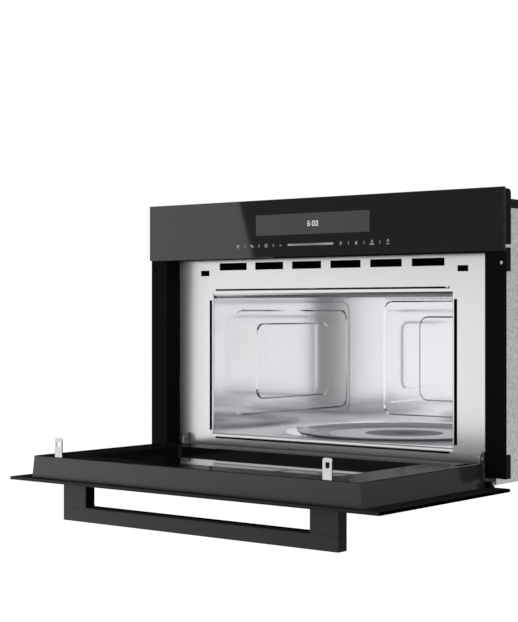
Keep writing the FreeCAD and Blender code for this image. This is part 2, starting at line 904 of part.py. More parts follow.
def rear_panel():
    """Rear sheet with the fan's grille, the screw holes and the hole of the cord gland."""
    through = (rear_inner - overrun, case_depth + overrun)
    sheet = block((-half_inner, half_inner), (rear_inner, case_depth), (base_sheet, roof))
    cuts = []
    for index in range(grille_slots):
        slot_x = fan_x + (index - (grille_slots - 1) / 2) * grille_pitch
        half = abs(slot_x - fan_x)
        if half < fan_motor_radius + grille_slot:
            for side in (-1, 1):
                length = grille_height / 2 - fan_motor_radius - grille_slot
                centre = fan_z + side * (grille_height - length) / 2
                cuts.append(block(pair(slot_x, grille_slot), through, pair(centre, length)))
        else:
            cuts.append(block(pair(slot_x, grille_slot), through, pair(fan_z, grille_height)))
    cuts.append(prism("y", through, gland_x, gland_z, gland_body, middle_sides))
    for x, z in rear_screw_places():
        cuts.append(prism("y", through, x, z, clear(rear_screw_shank, small_sides), small_sides))
    return sheet.cut(Part.makeCompound(cuts))


def rear_screw_places():
    """Screws along both upright edges and the middle of the top and bottom edges."""
    edge_x = half_inner - rear_screw_margin
    low = base_sheet + rear_screw_margin
    high = roof - rear_screw_margin
    rows = (low, (low + high) / 2, high)
    return [(side * edge_x, z) for side in (-1, 1) for z in rows] + [(0, low), (0, high)]


def case_screws():
    """Pan-head screws of the rear panel, one group of separate solids."""
    screws = []
    for x, z in rear_screw_places():
        head_y = (case_depth, case_depth + rear_screw_head_height)
        head = prism("y", head_y, x, z, rear_screw_head, small_sides)
        shank = prism("y", (case_depth - rear_screw_length, case_depth), x, z, rear_screw_shank, small_sides)
        screws.append(joined([head, shank]))
    return Part.makeCompound(screws)


def cord_gland():
    """Bush in the rear panel that the mains lead passes through."""
    end = case_depth + gland_flange_thick
    start = rear_inner - gland_inside
    body = prism("y", (start, end), gland_x, gland_z, gland_body, middle_sides)
    flange = prism("y", (case_depth, end), gland_x, gland_z, gland_flange, middle_sides)
    bore = rod("y", (start - overrun, end + overrun), gland_x, gland_z, gland_bore)
    return joined([body, flange]).cut(bore)


def right_hinge_arm():
    """Steel plate from the pivot through the front frame, with its fixing flange behind it."""
    x = pair(hinge_x, hinge_plate)
    pivot = (hinge_y, hinge_z, hinge_lobe)
    knee = (hinge_hook_y, hinge_knee_z, hinge_hook)
    hook = (hinge_hook_y, hinge_hook_z, hinge_hook)
    tail = (hinge_tail_y, hinge_hook_z, hinge_tail)
    flange_height = hinge_slot_height() + hinge_flange_margin * 2
    flange = block(pair(hinge_x, hinge_flange_width), (frame_back, frame_back + hinge_flange),
                   pair(hinge_hook_z, flange_height))
    arm = joined([link(x, pivot, knee), link(x, knee, hook), link(x, hook, tail), flange])
    through = grown(x, overrun)
    pin_hole = rod("x", through, hinge_y, hinge_z, hinge_pin + running_fit)
    eye = keyhole("x", through, hinge_hook_y, hinge_hook_z, hinge_eye, hinge_eye_height)
    return arm.cut(pin_hole).cut(eye)


def right_hinge_block():
    """Door-side bearing block that stands on the glass and holds the pin."""
    x = (hinge_x + hinge_plate / 2 + hinge_block_gap, hinge_block_end)
    barrel = prism("x", x, hinge_y, hinge_z, hinge_block_radius, middle_sides)
    foot = block(x, (door_y(door_frame_bottom), door_y(-door_drop)), (door_z(door_frame_front), hinge_z))
    bore = prism("x", grown(x, overrun), hinge_y, hinge_z, clear(hinge_pin, middle_sides), middle_sides)
    return joined([barrel, foot]).cut(bore)


def right_hinge_pin():
    """Pin through the arm and the block."""
    start = hinge_x - hinge_plate / 2 - hinge_pin_inner
    return rod("x", (start, hinge_pin_end), hinge_y, hinge_z, hinge_pin)


def door_outer_glass():
    """Full-width outer pane of the door, drilled for the handle."""
    pane = block((-half_front, half_front), (door_y(door_top), door_y(-door_drop)),
                 (door_z(-front_proud), door_z(door_frame_front)))
    pane = softened(pane, door_edge)
    for x in handle_screw_places():
        pane = pane.cut(prism("z", (door_z(-front_proud) - overrun, door_z(door_frame_front) + overrun),
                              x, door_y(handle_z), handle_screw + seat_gap, small_sides))
    return pane


def handle_screw_places():
    """Both ends of the handle, at the middle of its posts."""
    reach = (handle_length - handle_post) / 2
    return (-reach, reach)


def window_y():
    """Limits of the door's window along Y."""
    return (door_y(door_frame_top - window_margin_high), door_y(door_frame_bottom + window_margin_low))


def door_inner_frame():
    """Moulded choke cover: a hollow ring on the glass with slanted outer walls."""
    base = door_z(door_frame_front)
    face = door_z(door_frame_face)
    x = pair(0, door_frame_width)
    y = (door_y(door_frame_top), door_y(door_frame_bottom))
    levels = ((base, door_frame_draft, 0), (face - door_soft, 0, 0), (face, -door_soft, -door_soft))
    wires = []
    for level, out_x, out_y in levels:
        (x0, x1), (y0, y1) = grown(x, out_x), grown(y, out_y)
        wires.append(outline([V(x0, y0, level), V(x1, y0, level), V(x1, y1, level), V(x0, y1, level)]))
    body = Part.makeLoft(wires, True, True)
    window_x = pair(0, window_width)
    window = slab("z", (base - overrun, face + overrun), window_x, window_y(), window_corner)
    hollow = block(grown(x, -door_wall), grown(y, -door_wall), (base - overrun, face - door_rim))
    core = slab("z", (base - overrun, face), grown(window_x, door_wall), grown(window_y(), door_wall),
                window_corner + door_wall)
    body = body.cut(hollow.cut(core)).cut(window)
    notch_width = hinge_plate + hinge_notch_gap * 2
    reach = hinge_hook_z + hinge_hook + hinge_notch_reach
    for side in (-1, 1):
        body = body.cut(block(pair(side * hinge_x, notch_width), (door_y(reach), y[1] + overrun),
                              (base - overrun, face + overrun)))
        body = body.cut(block(grown(pair(side * latch_x, tongue_width), seat_gap),
                              (door_y(tongue_top), door_y(tongue_top - tongue_sheet)),
                              (door_z(tongue_root), face + overrun)))
    return body


def door_inner_pane():
    """Clear inner pane, sunk in the window of the inner frame."""
    top = door_z(door_frame_face) - pane_sink
    return slab("z", (top - pane_glass, top), grown(pair(0, window_width), -seat_gap),
                grown(window_y(), -seat_gap), window_corner)


def door_screen():
    """Perforated shielding sheet under the inner pane."""
    top = door_z(door_frame_face) - pane_sink - pane_glass
    x = grown(pair(0, window_width), -seat_gap)
    y = grown(window_y(), -seat_gap)
    pitch_x = (x[1] - x[0]) * screen_field_share / screen_columns
    pitch_y = (y[1] - y[0]) * screen_field_share / screen_rows
    low = top - screen_sheet
    wires = [rounded_wire("z", low, x, y, window_corner)]
    for row in range(screen_rows):
        for column in range(screen_columns):
            hole_x = pair((column - (screen_columns - 1) / 2) * pitch_x, pitch_x * screen_hole_share)
            hole_y = pair(sum(y) / 2 + (row - (screen_rows - 1) / 2) * pitch_y, pitch_y * screen_hole_share)
            (x0, x1), (y0, y1) = hole_x, hole_y
            wires.append(outline([V(x0, y0, low), V(x1, y0, low), V(x1, y1, low), V(x0, y1, low)]))
    face = Part.makeFace(wires, "Part::FaceMakerBullseye")
    return face.extrude(V(0, 0, screen_sheet))


def handle_limits():
    """Limits of the handle's section along Y, and the heights of its seat and of its front joint."""
    y = pair(door_y(handle_z), handle_height)
    seat = door_z(-front_proud)
    return y, seat, seat - handle_stand


def handle_bar():
    """Bar across the door, its top rising to the rear."""
    y, seat, meet = handle_limits()
    x = -handle_length / 2
    section = [V(x, y[0], meet - handle_depth), V(x, y[1], meet - handle_depth),
               V(x, y[1], meet + handle_slant), V(x, y[0], meet)]
    return softened(Part.Face(outline(section)).extrude(V(handle_length, 0, 0)), handle_edge)


def right_handle_post():
    """Block between the bar's end and the glass, drilled for its screw."""
    y, seat, meet = handle_limits()
    x = (handle_length / 2 - handle_post, handle_length / 2)
    side = [V(x[0], y[0], meet), V(x[0], y[1], meet + handle_slant), V(x[0], y[1], seat), V(x[0], y[0], seat)]
    post = Part.Face(outline(side)).extrude(V(handle_post, 0, 0))
    upright = [edge for edge in post.Edges if abs(edge.tangentAt(edge.FirstParameter).z) > upright_share]
    post = post.makeChamfer(handle_edge, upright)
    bore_z = (seat - handle_screw_grip, seat + overrun)
    return post.cut(prism("z", bore_z, sum(x) / 2, sum(y) / 2, handle_screw, small_sides))


def handle_screws():
    """Screws from inside the door into both posts."""
    screws = []
    inner = door_z(door_frame_front)
    seat = door_z(-front_proud)
    for x in handle_screw_places():
        y = door_y(handle_z)
        shank = prism("z", (seat - handle_screw_grip, inner), x, y, handle_screw, small_sides)
        head = prism("z", (inner, inner + handle_screw_head_height), x, y, handle_screw_head, small_sides)
        screws.append(joined([shank, head]))
    return Part.makeCompound(screws)


def right_latch_tongue():
    """Thin steel plate that stands up from the door's free edge, with a keeper hole."""
    y = (door_y(tongue_top), door_y(tongue_top - tongue_sheet))
    x = pair(latch_x, tongue_width)
    tip = door_z(tongue_tip)
    through = grown(y, overrun)
    plate = slab("y", y, x, (door_z(tongue_root), tip), tongue_corner)
    middle = tip - tongue_hole_drop - tongue_hole_height / 2
    return plate.cut(keyhole("y", through, latch_x, middle, tongue_hole_width, tongue_hole_height))


def interlock_limits():
    """Limits of the interlock housing behind the right latch slot."""
    return (pair(latch_x, interlock_width), (frame_back, frame_back + interlock_length),
            (interlock_bottom, interlock_bottom + interlock_height))


def right_interlock_bracket():
    """Moulded housing that guides the tongue and the plunger."""
    x, y, z = interlock_limits()
    guide = plunger_rest + plunger_travel + plunger_guide
    channel = block(pair(latch_x, latch_slot_width), (y[0] - overrun, guide),
                    pair(latch_slot_z, latch_slot_height))
    fit = running_fit * 2
    bore = block(pair(latch_x, plunger_width + fit), y, pair(latch_slot_z, plunger_height + fit))
    bay_start = plunger_rest + plunger_length + plunger_travel
    bay = block(pair(latch_x, switch_width + fit), (bay_start, y[1] + overrun), grown(z, overrun))
    return block(x, y, z).cut(channel).cut(bore).cut(bay)


def right_switch_plunger():
    """Slide that the latch tongue pushes back."""
    return block(pair(latch_x, plunger_width), (plunger_rest, plunger_rest + plunger_length),
                 pair(latch_slot_z, plunger_height))


def interlock_switches():
    """Snap switches behind both plungers, one group of separate solids."""
    x, y, z = interlock_limits()
    start = plunger_rest + plunger_length + plunger_travel + seat_gap
    body = block(pair(latch_x, switch_width), (start, start + switch_length), z)
    return Part.makeCompound([body, mirrored(body)])


def waveguide():
    """Rectangular steel duct on the right cavity wall, open to the cavity and to the magnetron."""
    x = (guide_x, guide_end)
    y = pair(turn_y, guide_width)
    z = (guide_bottom, guide_top)
    shell = block(x, y, z).cut(block(grown(x, -guide_sheet), grown(y, -guide_sheet), grown(z, -guide_sheet)))
    inner_sheet = (guide_x - overrun, guide_x + guide_sheet * 2)
    port = prism("x", inner_sheet, turn_y, tube_z, antenna_radius + seat_gap, small_sides)
    return shell.cut(feed_opening(inner_sheet)).cut(port)


def waveguide_cover():
    """Mica sheet over the feed opening, inside the cavity."""
    low = guide_bottom + feed_margin
    return block((half_cavity - mica_sheet, half_cavity), grown(pair(turn_y, feed_width), mica_margin),
                 grown((low, low + feed_height), mica_margin))


def magnetron():
    """Finned tube in an open steel yoke, its antenna reaching into the waveguide."""
    x = (guide_x - tube_length, guide_x)
    y = pair(turn_y, tube_width)
    z = pair(tube_z, tube_height)
    yoke = block(x, y, z).cut(block(grown(x, -tube_yoke), grown(y, overrun), grown(z, -tube_yoke)))
    solids = [yoke, prism("x", x, turn_y, tube_z, tube_core, small_sides)]
    for index in range(tube_fins):
        fin_x = sum(x) / 2 + (index - (tube_fins - 1) / 2) * tube_fin_pitch
        solids.append(block(pair(fin_x, tube_fin), y, grown(z, -tube_yoke)))
    shoulder = guide_x + antenna_length
    solids.append(prism("x", (guide_x, shoulder), turn_y, tube_z, antenna_radius, small_sides))
    solids.append(prism("x", (shoulder, shoulder + antenna_tip), turn_y, tube_z, antenna_tip, small_sides))
    return joined(solids)


def component_tray():
    """Folded sheet that carries the boards above the cavity."""
    x = (tray_left, tray_right)
    y = (tray_front, tray_rear)
    z = (ceiling_top, tray_z + tray_sheet)
    under = (ceiling_top - overrun, tray_z)
    return block(x, y, z).cut(block(grown(x, -tray_sheet), grown(y, overrun), under))


def board_on_posts(x, y):
    """Circuit board standing on four spacers on the tray."""
    low = tray_z + tray_sheet
    solids = [block(x, y, (low + post_height, low + post_height + board))]
    for post_x in grown(x, -post_margin):
        for post_y in grown(y, -post_margin):
            solids.append(block(pair(post_x, post_width), pair(post_y, post_width), (low, low + post_height)))
    return solids


def inverter_board():
    """Power board with a finned heat sink, a high-voltage coil and a row of capacitors."""
    solids = board_on_posts(inverter_x, inverter_y)
    top = tray_z + tray_sheet + post_height + board
    mid_x = sum(inverter_x) / 2
    mid_y = sum(inverter_y) / 2
    sink_x = grown((inverter_x[0], mid_x), -post_margin)
    sink_y = grown((mid_y, inverter_y[1]), -post_margin)
    solids.append(block(sink_x, sink_y, (top, top + sink_base)))
    pitch = (sink_x[1] - sink_x[0] - sink_fin) / (sink_fins - 1)
    for index in range(sink_fins):
        fin_x = sink_x[0] + index * pitch
        solids.append(block((fin_x, fin_x + sink_fin), sink_y, (top, top + sink_height)))
    coil_x = inverter_x[1] - coil_radius - post_margin
    solids.append(prism("z", (top, top + coil_height), coil_x, sum(sink_y) / 2, coil_radius, middle_sides))
    for index in range(capacitors):
        capacitor_x = mid_x + (index - (capacitors - 1) / 2) * capacitor_pitch
        solids.append(prism("z", (top, top + capacitor_height), capacitor_x, inverter_y[0] + capacitor_pitch,
                            capacitor_radius, small_sides))
    return joined(solids)


def noise_filter_board():
    """Small board with a wound choke and a film capacitor."""
    solids = board_on_posts(filter_x, filter_y)
    top = tray_z + tray_sheet + post_height + board
    mid_x = sum(filter_x) / 2
    mid_y = sum(filter_y) / 2
    choke = prism("z", (top, top + choke_height), mid_x, mid_y, choke_radius, middle_sides)
    bore = prism("z", (top, top + choke_height + overrun), mid_x, mid_y, choke_bore, small_sides)
    solids.append(choke.cut(bore))
    solids.append(block(pair(mid_x, capacitor_pitch), pair(filter_y[1] - capacitor_pitch, capacitor_radius),
                        (top, top + choke_height)))
    return joined(solids)


def air_duct():
    """Flat sheet duct to the front slots, fed through its top at the rear."""
    x = pair(0, duct_width)
    y = (frame_back, frame_back + duct_depth)
    z = grown(pair(vent_z, vent_height), duct_above)
    inside_x = grown(x, -duct_sheet)
    end = y[1] - duct_sheet
    hollow = block(inside_x, (y[0] - overrun, end), grown(z, -duct_sheet))
    mouth = block(inside_x, (end - duct_mouth, end), (vent_z, z[1] + overrun))
    return block(x, y, z).cut(hollow).cut(mouth)


def fan_shroud():
    """Plate on the cavity ceiling with a round mouth for the fan."""
    y = (fan_plate_y, fan_plate_y + fan_plate)
    bore = clear(fan_radius + fan_tip_clear, middle_sides)
    plate = block(pair(fan_x, fan_plate_width), y, (ceiling_top, roof))
    ring = prism("y", (y[0] - fan_ring, y[1]), fan_x, fan_z, bore + fan_plate, middle_sides)
    through = (y[0] - fan_ring - overrun, y[1] + overrun)
    return joined([plate, ring]).cut(prism("y", through, fan_x, fan_z, bore, middle_sides))


def fan_motor():
    """Round motor on the rear panel, bored for the fan's shaft."""
    nose_front = motor_front - fan_motor_nose_length
    body = prism("y", (motor_front, rear_inner), fan_x, fan_z, fan_motor_radius, middle_sides)
    nose = prism("y", (nose_front, motor_front), fan_x, fan_z, fan_motor_nose, middle_sides)
    bore = prism("y", (nose_front - overrun, rear_inner - fan_motor_length / 2), fan_x, fan_z,
                 clear(fan_shaft + running_fit, middle_sides), middle_sides)
    return joined([body, nose]).cut(bore)


def fan_blade_solid():
    """One flat leaning blade from the hub to the tip, pointing up."""
    middle_y = impeller_y + fan_depth / 2
    z = (fan_z + fan_hub - fan_root_sink, fan_z + fan_radius - fan_blade)
    blade = block(pair(fan_x, fan_blade), pair(middle_y, fan_depth - fan_blade * 2), z)
    blade.rotate(V(fan_x, middle_y, 0), V(0, 0, 1), fan_blade_lean)
    return blade


def fan_impeller():
    """Axial impeller and its shaft."""
    hub = prism("y", (impeller_y, impeller_y + fan_depth), fan_x, fan_z, fan_hub, middle_sides)
    shaft_end = rear_inner - fan_motor_length / 2 - seat_gap
    solids = [hub, prism("y", (impeller_y + fan_depth, shaft_end), fan_x, fan_z, fan_shaft, middle_sides)]
    blade = fan_blade_solid()
    for index in range(fan_blades):
        copy = blade.copy()
        copy.rotate(V(fan_x, 0, fan_z), V(0, 1, 0), index * 360 / fan_blades)
        solids.append(copy)
    return joined(solids)


def lamp_holder():
    """Socket on a small plate outside the right cavity wall."""
    x = guide_x + lamp_bulb * 2
    plate = block((guide_x, guide_x + lamp_plate_sheet), (lamp_y + lamp_plate / 2, lamp_y + lamp_plate),
                  pair(lamp_z, lamp_plate))
    arm = block((guide_x, x), (lamp_y + lamp_plate / 2, lamp_y + lamp_plate / 2 + lamp_plate_sheet),
                pair(lamp_z, lamp_plate))
    start = lamp_y + lamp_plate / 2 - lamp_base_length
    socket = prism("y", (start, lamp_y + lamp_plate / 2), guide_x + lamp_base + seat_gap, lamp_z, lamp_base,
                   middle_sides)
    return joined([plate, arm, socket])


def lamp_bulb_piece():
    """Glass bulb at the end of the socket, beside the wall's holes."""
    end = lamp_y + lamp_plate / 2 - lamp_base_length
    x = guide_x + lamp_base + seat_gap
    shoulder = end - lamp_bulb_length
    steps = [(shoulder - lamp_bulb, lamp_bulb_tip), (shoulder, lamp_bulb), (end, lamp_bulb)]
    return stepped("y", steps, x, lamp_z, middle_sides)


def thermal_cutout():
    """Round thermostat with a flange on the cavity ceiling."""
    flange = block(pair(cutout_x, cutout_flange), pair(cutout_y, cutout_flange_width),
                   (ceiling_top, ceiling_top + cutout_flange_sheet))
    body_z = (ceiling_top, ceiling_top + cutout_height)
    return joined([flange, prism("z", body_z, cutout_x, cutout_y, cutout_radius, middle_sides)])


def pieces():
    """Every piece of the oven by its name."""
    result = {
        "control_panel_glass": control_panel_glass(),
        "control_panel_carrier": control_panel_carrier(),
        "display_module": display_module(),
        "touch_sensor_board": touch_sensor_board(),
        "front_frame": front_frame(),
        "cavity_left_wall": cavity_left_wall(),
        "cavity_right_wall": cavity_right_wall(),
        "cavity_ceiling": cavity_ceiling(),
        "cavity_rear_wall": cavity_rear_wall(),
        "cavity_floor": cavity_floor_pan(),
        "turntable_motor": turntable_motor(),
        "turntable_coupler": turntable_coupler(),
        "glass_turntable": glass_turntable(),
        "roller_ring": roller_ring(),
        "top_cover": top_cover(),
        "base_plate": base_plate(),
        "rear_panel": rear_panel(),
        "case_screws": case_screws(),
        "cord_gland": cord_gland(),
        "door_outer_glass": door_outer_glass(),
        "door_inner_frame": door_inner_frame(),
        "door_inner_pane": door_inner_pane(),
        "door_screen": door_screen(),
        "handle_bar": handle_bar(),
        "handle_screws": handle_screws(),
        "interlock_switches": interlock_switches(),
        "waveguide": waveguide(),
        "waveguide_cover": waveguide_cover(),
        "magnetron": magnetron(),
        "component_tray": component_tray(),
        "inverter_board": inverter_board(),
        "noise_filter_board": noise_filter_board(),
        "air_duct": air_duct(),
        "fan_shroud": fan_shroud(),
        "fan_motor": fan_motor(),
        "fan_impeller": fan_impeller(),
        "lamp_holder": lamp_holder(),
        "lamp_bulb": lamp_bulb_piece(),
        "thermal_cutout": thermal_cutout(),
    }
    for index in range(roller_count):
        result["roller_" + str(index + 1)] = roller(index)
    handed = {
        "side_trim": right_side_trim(),
        "case_side": right_case_side(),
        "hinge_arm": right_hinge_arm(),
        "hinge_block": right_hinge_block(),
        "hinge_pin": right_hinge_pin(),
        "handle_post": right_handle_post(),
        "latch_tongue": right_latch_tongue(),
        "interlock_bracket": right_interlock_bracket(),
        "switch_plunger": right_switch_plunger(),
    }
    for name, solid in handed.items():
        result["right_" + name] = solid
        result["left_" + name] = mirrored(solid)
    return result


os.makedirs("parts", exist_ok=True)
for piece_name, piece_shape in pieces().items():
    piece_shape.exportStep(os.path.join("parts", piece_name + ".step"))
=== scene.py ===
import bpy
import math
from mathutils import Matrix, Vector


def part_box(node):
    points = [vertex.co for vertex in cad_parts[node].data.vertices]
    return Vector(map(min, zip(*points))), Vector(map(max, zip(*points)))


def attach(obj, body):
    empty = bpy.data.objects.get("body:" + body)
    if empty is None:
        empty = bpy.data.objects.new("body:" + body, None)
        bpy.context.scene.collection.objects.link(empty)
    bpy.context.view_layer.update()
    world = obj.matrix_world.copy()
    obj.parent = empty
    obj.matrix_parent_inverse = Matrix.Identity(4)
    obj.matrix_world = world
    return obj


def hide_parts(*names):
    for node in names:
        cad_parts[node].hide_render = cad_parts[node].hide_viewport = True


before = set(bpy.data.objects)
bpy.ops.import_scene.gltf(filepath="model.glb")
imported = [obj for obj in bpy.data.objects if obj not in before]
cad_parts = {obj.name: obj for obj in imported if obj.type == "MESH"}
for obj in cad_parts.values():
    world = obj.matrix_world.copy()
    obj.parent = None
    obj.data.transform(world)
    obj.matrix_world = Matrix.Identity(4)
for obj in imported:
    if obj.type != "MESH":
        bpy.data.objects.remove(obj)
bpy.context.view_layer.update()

bl_info = {
    "name": "Built-in Microwave Looks",
    "version": (1, 0, 0),
    "blender": (4, 5, 0),
    "location": "View3D > Sidebar > Microwave",
    "description": "Finishes, panel markings and studio for a built-in microwave oven",
    "category": "Object",
}

MM = 0.001
INK = 0.06 * MM  # thickness of prints and of the door's enamel
HOUSING = "housing"
PANEL_LOW, PANEL_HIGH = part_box("control_panel_glass")
PANEL_FACE = PANEL_LOW[1]
PLATE_LOW, PLATE_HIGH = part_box("glass_turntable")
PLATE_CENTRE = ((PLATE_LOW[0] + PLATE_HIGH[0]) / 2, (PLATE_LOW[1] + PLATE_HIGH[1]) / 2)
PLATE_RADIUS = (PLATE_HIGH[0] - PLATE_LOW[0]) / 2

# Bands of the CAD pieces that have a tone of their own; the glass ends, the upper faces of the door frame
# and the handle bar, and the window margins carry painted shade.
SHADED_GLASS_END = 0.3 * MM  # ends of the control glass, painted near black as shade
SHADED_FRAME_TOP = 0.9 * MM  # upper face of the door frame, painted dark as shade
SHADED_BAR_TOP = 0.7 * MM  # upper side of the handle bar, painted dark as the shade under the door
SHEARED_EDGE = 0.05 * MM  # sides of the latch tongues
WINDOW_SIDE, WINDOW_END = 20 * MM, 14 * MM  # margins round the door's window, painted dark as shade
WIPED_FOOT = 36 * MM  # dull foot of the cavity walls
RING_BLUR = 1.2 * MM  # soft edge of the turntable's painted reflection rings
DRAWING_MARKS = 60.0  # marks round the recess of the floor

# Facets of round pieces, and the angle from which an edge stays sharp.
PLATE_SIDES, LUG_SIDES, RING_SIDES, DOT_SIDES = 160, 20, 32, 12
CREASE = math.radians(24)

# The most used kinds of node, and the sockets of the Mix node for colours and for numbers.
PRINCIPLED, MATH = "ShaderNodeBsdfPrincipled", "ShaderNodeMath"
RAMP, RANGE = "ShaderNodeValToRGB", "ShaderNodeMapRange"
COLOUR_A, COLOUR_B, COLOUR_MIX = 6, 7, 2
NUMBER_A, NUMBER_B = 2, 3


def srgb(code):
    """Linear colour with alpha from an sRGB hex code."""
    parts = [int(code[index:index + 2], 16) / 255 for index in (1, 3, 5)]
    linear = [part / 12.92 if part <= 0.04045 else ((part + 0.055) / 1.055) ** 2.4 for part in parts]
    return (*linear, 1.0)


def shade(colour, share):
    """A colour made darker or lighter by a share."""
    return (*(Vector(colour[:3]) * share), 1.0)


def per_metre(size_mm):
    """Texture scale that repeats once in a real size given in millimetres."""
    return 1000 / size_mm


def length(name, description, size_mm):
    """Setting for a length, given in millimetres."""
    return bpy.props.FloatProperty(name=name, description=description, default=size_mm * MM, unit="LENGTH")


def finish(name, description, code):
    """Setting for a colour, given as an sRGB hex code."""
    return bpy.props.FloatVectorProperty(name=name, description=description, subtype="COLOR", size=4,
                                         min=0.0, max=1.0, default=srgb(code))


class PanelMarks(bpy.types.PropertyGroup):
    """Sizes of the printed and lit marks on the control glass."""

    display_width: length("Display width", "Width of the smoked display window", 191.8)
    display_height: length("Display height", "Height of the smoked display window", 28.6)
    display_drop: length("Display drop", "Middle of the window below the top of the glass", 35.2)
    digit_height: length("Digit height", "Height of the lit time digits", 7.2)
    clock_shift: length("Clock shift", "Middle of the clock, right of the panel's middle", 2.7)
    row_drop: length("Symbol row drop", "Middle of the symbol row below the top of the glass", 63.5)
    first_symbol: length("First symbol", "Distance of the innermost symbols from the middle", 51.0)
    symbol_pitch: length("Symbol pitch", "Distance from one symbol to the next", 25.2)
    row_shift: length("Symbol row shift", "Middle of the symbol row, right of the panel's middle", -1.6)
    symbol_size: length("Symbol size", "Height of one touch symbol", 4.5)
    slider_length: length("Slider length", "Length of the touch slider bar", 77.0)
    slider_height: length("Slider height", "Height of the touch slider bar", 2.8)


class Turntable(bpy.types.PropertyGroup):
    """Form of the turntable plate and of the floor that it stands in."""

    inner_ring: length("Inner ring", "Radius of the raised middle of the plate", 57.5)
    outer_ring: length("Outer ring", "Radius where the frosted field of the plate ends", 112.0)
    ring_step: length("Ring step", "Height of the steps pressed into the plate", 0.7)
    glass: length("Glass", "Thickness of the plate's middle", 4.0)
    rim: length("Rim", "Width of the raised rim", 14.0)
    rim_height: length("Rim height", "Height of the rim above the underside", 8.0)
    lug_circle: length("Lug circle", "Radius on which the driving lugs stand", 17.0)
    recess: length("Recess", "Radius of the round recess in the floor", 174.0)
    recess_slope: length("Recess slope", "Width of the recess's sloping wall", 12.0)
    sheet: length("Sheet", "Thickness of the floor sheet", 0.8)
    shaft_hole: length("Shaft hole", "Radius of the hole for the drive shaft", 3.8)


class Finishes(bpy.types.PropertyGroup):
    """Colours of the visible materials."""

    panel_print: finish("Glass print", "Ceramic print behind the black glass", "#131314")
    display_filter: finish("Display filter", "Smoked window in front of the display", "#5a5a5b")
    trim_black: finish("Trim black", "Moulded trims beside the mouth", "#111111")
    door_black: finish("Door black", "Coated sides of the door's inner frame", "#4a4a4b")
    # Painted shade: this near black darkens the door frame's upper face and window margin and the handle
    # bar's upper side.
    painted_shade_black: finish("Door face", "Face of the door frame and upper side of the handle bar", "#151515")
    handle_black: finish("Handle black", "Anodised handle", "#444243")
    steel: finish("Stainless steel", "Front frame sheet", "#e0e0e1")
    cavity_steel: finish("Cavity steel", "Bright sheet of the oven cavity", "#f6f6f8")
    zinc: finish("Zinc", "Middle tone of the galvanised case", "#b9b9ba")
    mark_white: finish("Mark white", "Printed symbols", "#a4a4a4")


class Studio(bpy.types.PropertyGroup):
    """Camera and light of the product photograph."""

    camera_place: bpy.props.FloatVectorProperty(
        name="Camera place", description="Lens centre", subtype="TRANSLATION", size=3,
        default=(1.24567, -1.68896, 0.21690))
    camera_yaw: bpy.props.FloatProperty(
        name="Camera yaw", description="Turn of the view to the left of straight ahead", subtype="ANGLE",
        default=math.radians(38.68))
    camera_pitch: bpy.props.FloatProperty(
        name="Camera pitch", description="Upward tilt of the view", subtype="ANGLE",
        default=math.radians(0.0275))
    camera_lens: bpy.props.FloatProperty(
        name="Lens", description="Focal length on a 36 mm sensor", default=88.84)
    floor_level: length("Floor level", "Height of the studio floor over the niche's floor", -750.0)
    room_light: bpy.props.FloatProperty(
        name="Room light", description="Strength of the even studio light", default=0.31)


def colours():
    """The finish colours as set by the user."""
    return bpy.context.scene.microwave_finishes


def add_node(tree, kind, inputs=None, stops=(), **settings):
    """Adds a node with its properties and ramp stops, and sets its inputs, by name or number.

    An input takes a value, a socket, or a node, whose first socket is then linked."""
    node = tree.nodes.new(kind)
    for key, value in settings.items():
        setattr(node, key, value)
    for key, value in (inputs or {}).items():
        if isinstance(value, bpy.types.Node):
            value = value.outputs[0]
        if isinstance(value, bpy.types.NodeSocket):
            tree.links.new(value, node.inputs[key])
        else:
            node.inputs[key].default_value = value
    for index, (position, tone) in enumerate(stops):
        if index == len(node.color_ramp.elements):
            node.color_ramp.elements.new(position)
        element = node.color_ramp.elements[index]
        element.position, element.color = position, tone
    return node


def make_material(name, build):
    """Material whose nodes are laid by build, which returns the last shader."""
    made = bpy.data.materials.new(name)
    made.use_nodes = True
    made.node_tree.nodes.clear()
    shader = build(made.node_tree)
    add_node(made.node_tree, "ShaderNodeOutputMaterial", {"Surface": shader})
    return made


def axes(tree):
    """X, Y and Z of the place on the piece."""
    return add_node(tree, "ShaderNodeSeparateXYZ", {
        "Vector": add_node(tree, "ShaderNodeTexCoord").outputs["Object"]}).outputs


def speckle(tree, size_mm, detail):
    """Cloudy pattern with features of a real size."""
    place = add_node(tree, "ShaderNodeTexCoord").outputs["Object"]
    return add_node(tree, "ShaderNodeTexNoise", {
        "Vector": place, "Scale": per_metre(size_mm), "Detail": detail})


def streaks(tree, size_mm, detail):
    """Cloudy pattern drawn out to real sizes along X, Y and Z."""
    place = add_node(tree, "ShaderNodeTexCoord").outputs["Object"]
    drawn = add_node(tree, "ShaderNodeMapping", {
        "Vector": place, "Scale": [per_metre(size) for size in size_mm]})
    return add_node(tree, "ShaderNodeTexNoise", {"Vector": drawn, "Scale": 1.0, "Detail": detail})


def flakes(tree, size_mm):
    """Mosaic of cells of a real size, each with random values of its own."""
    place = add_node(tree, "ShaderNodeTexCoord").outputs["Object"]
    cells = add_node(tree, "ShaderNodeTexVoronoi", {
        "Vector": place, "Scale": per_metre(size_mm), "Randomness": 1.0})
    return add_node(tree, "ShaderNodeSeparateColor", {"Color": cells.outputs["Color"]}).outputs


def about_plate(tree, unit):
    """Level vector from the turntable's middle, and its length, in a unit of so many metres."""
    place = add_node(tree, "ShaderNodeTexCoord").outputs["Object"]
    vector = add_node(tree, "ShaderNodeMapping", {
        "Vector": place, "Scale": (1 / unit, 1 / unit, 0.0),
        "Location": (-PLATE_CENTRE[0] / unit, -PLATE_CENTRE[1] / unit, 0.0)})
    reach = add_node(tree, "ShaderNodeVectorMath", {0: vector}, operation="LENGTH")
    return vector, reach.outputs["Value"]


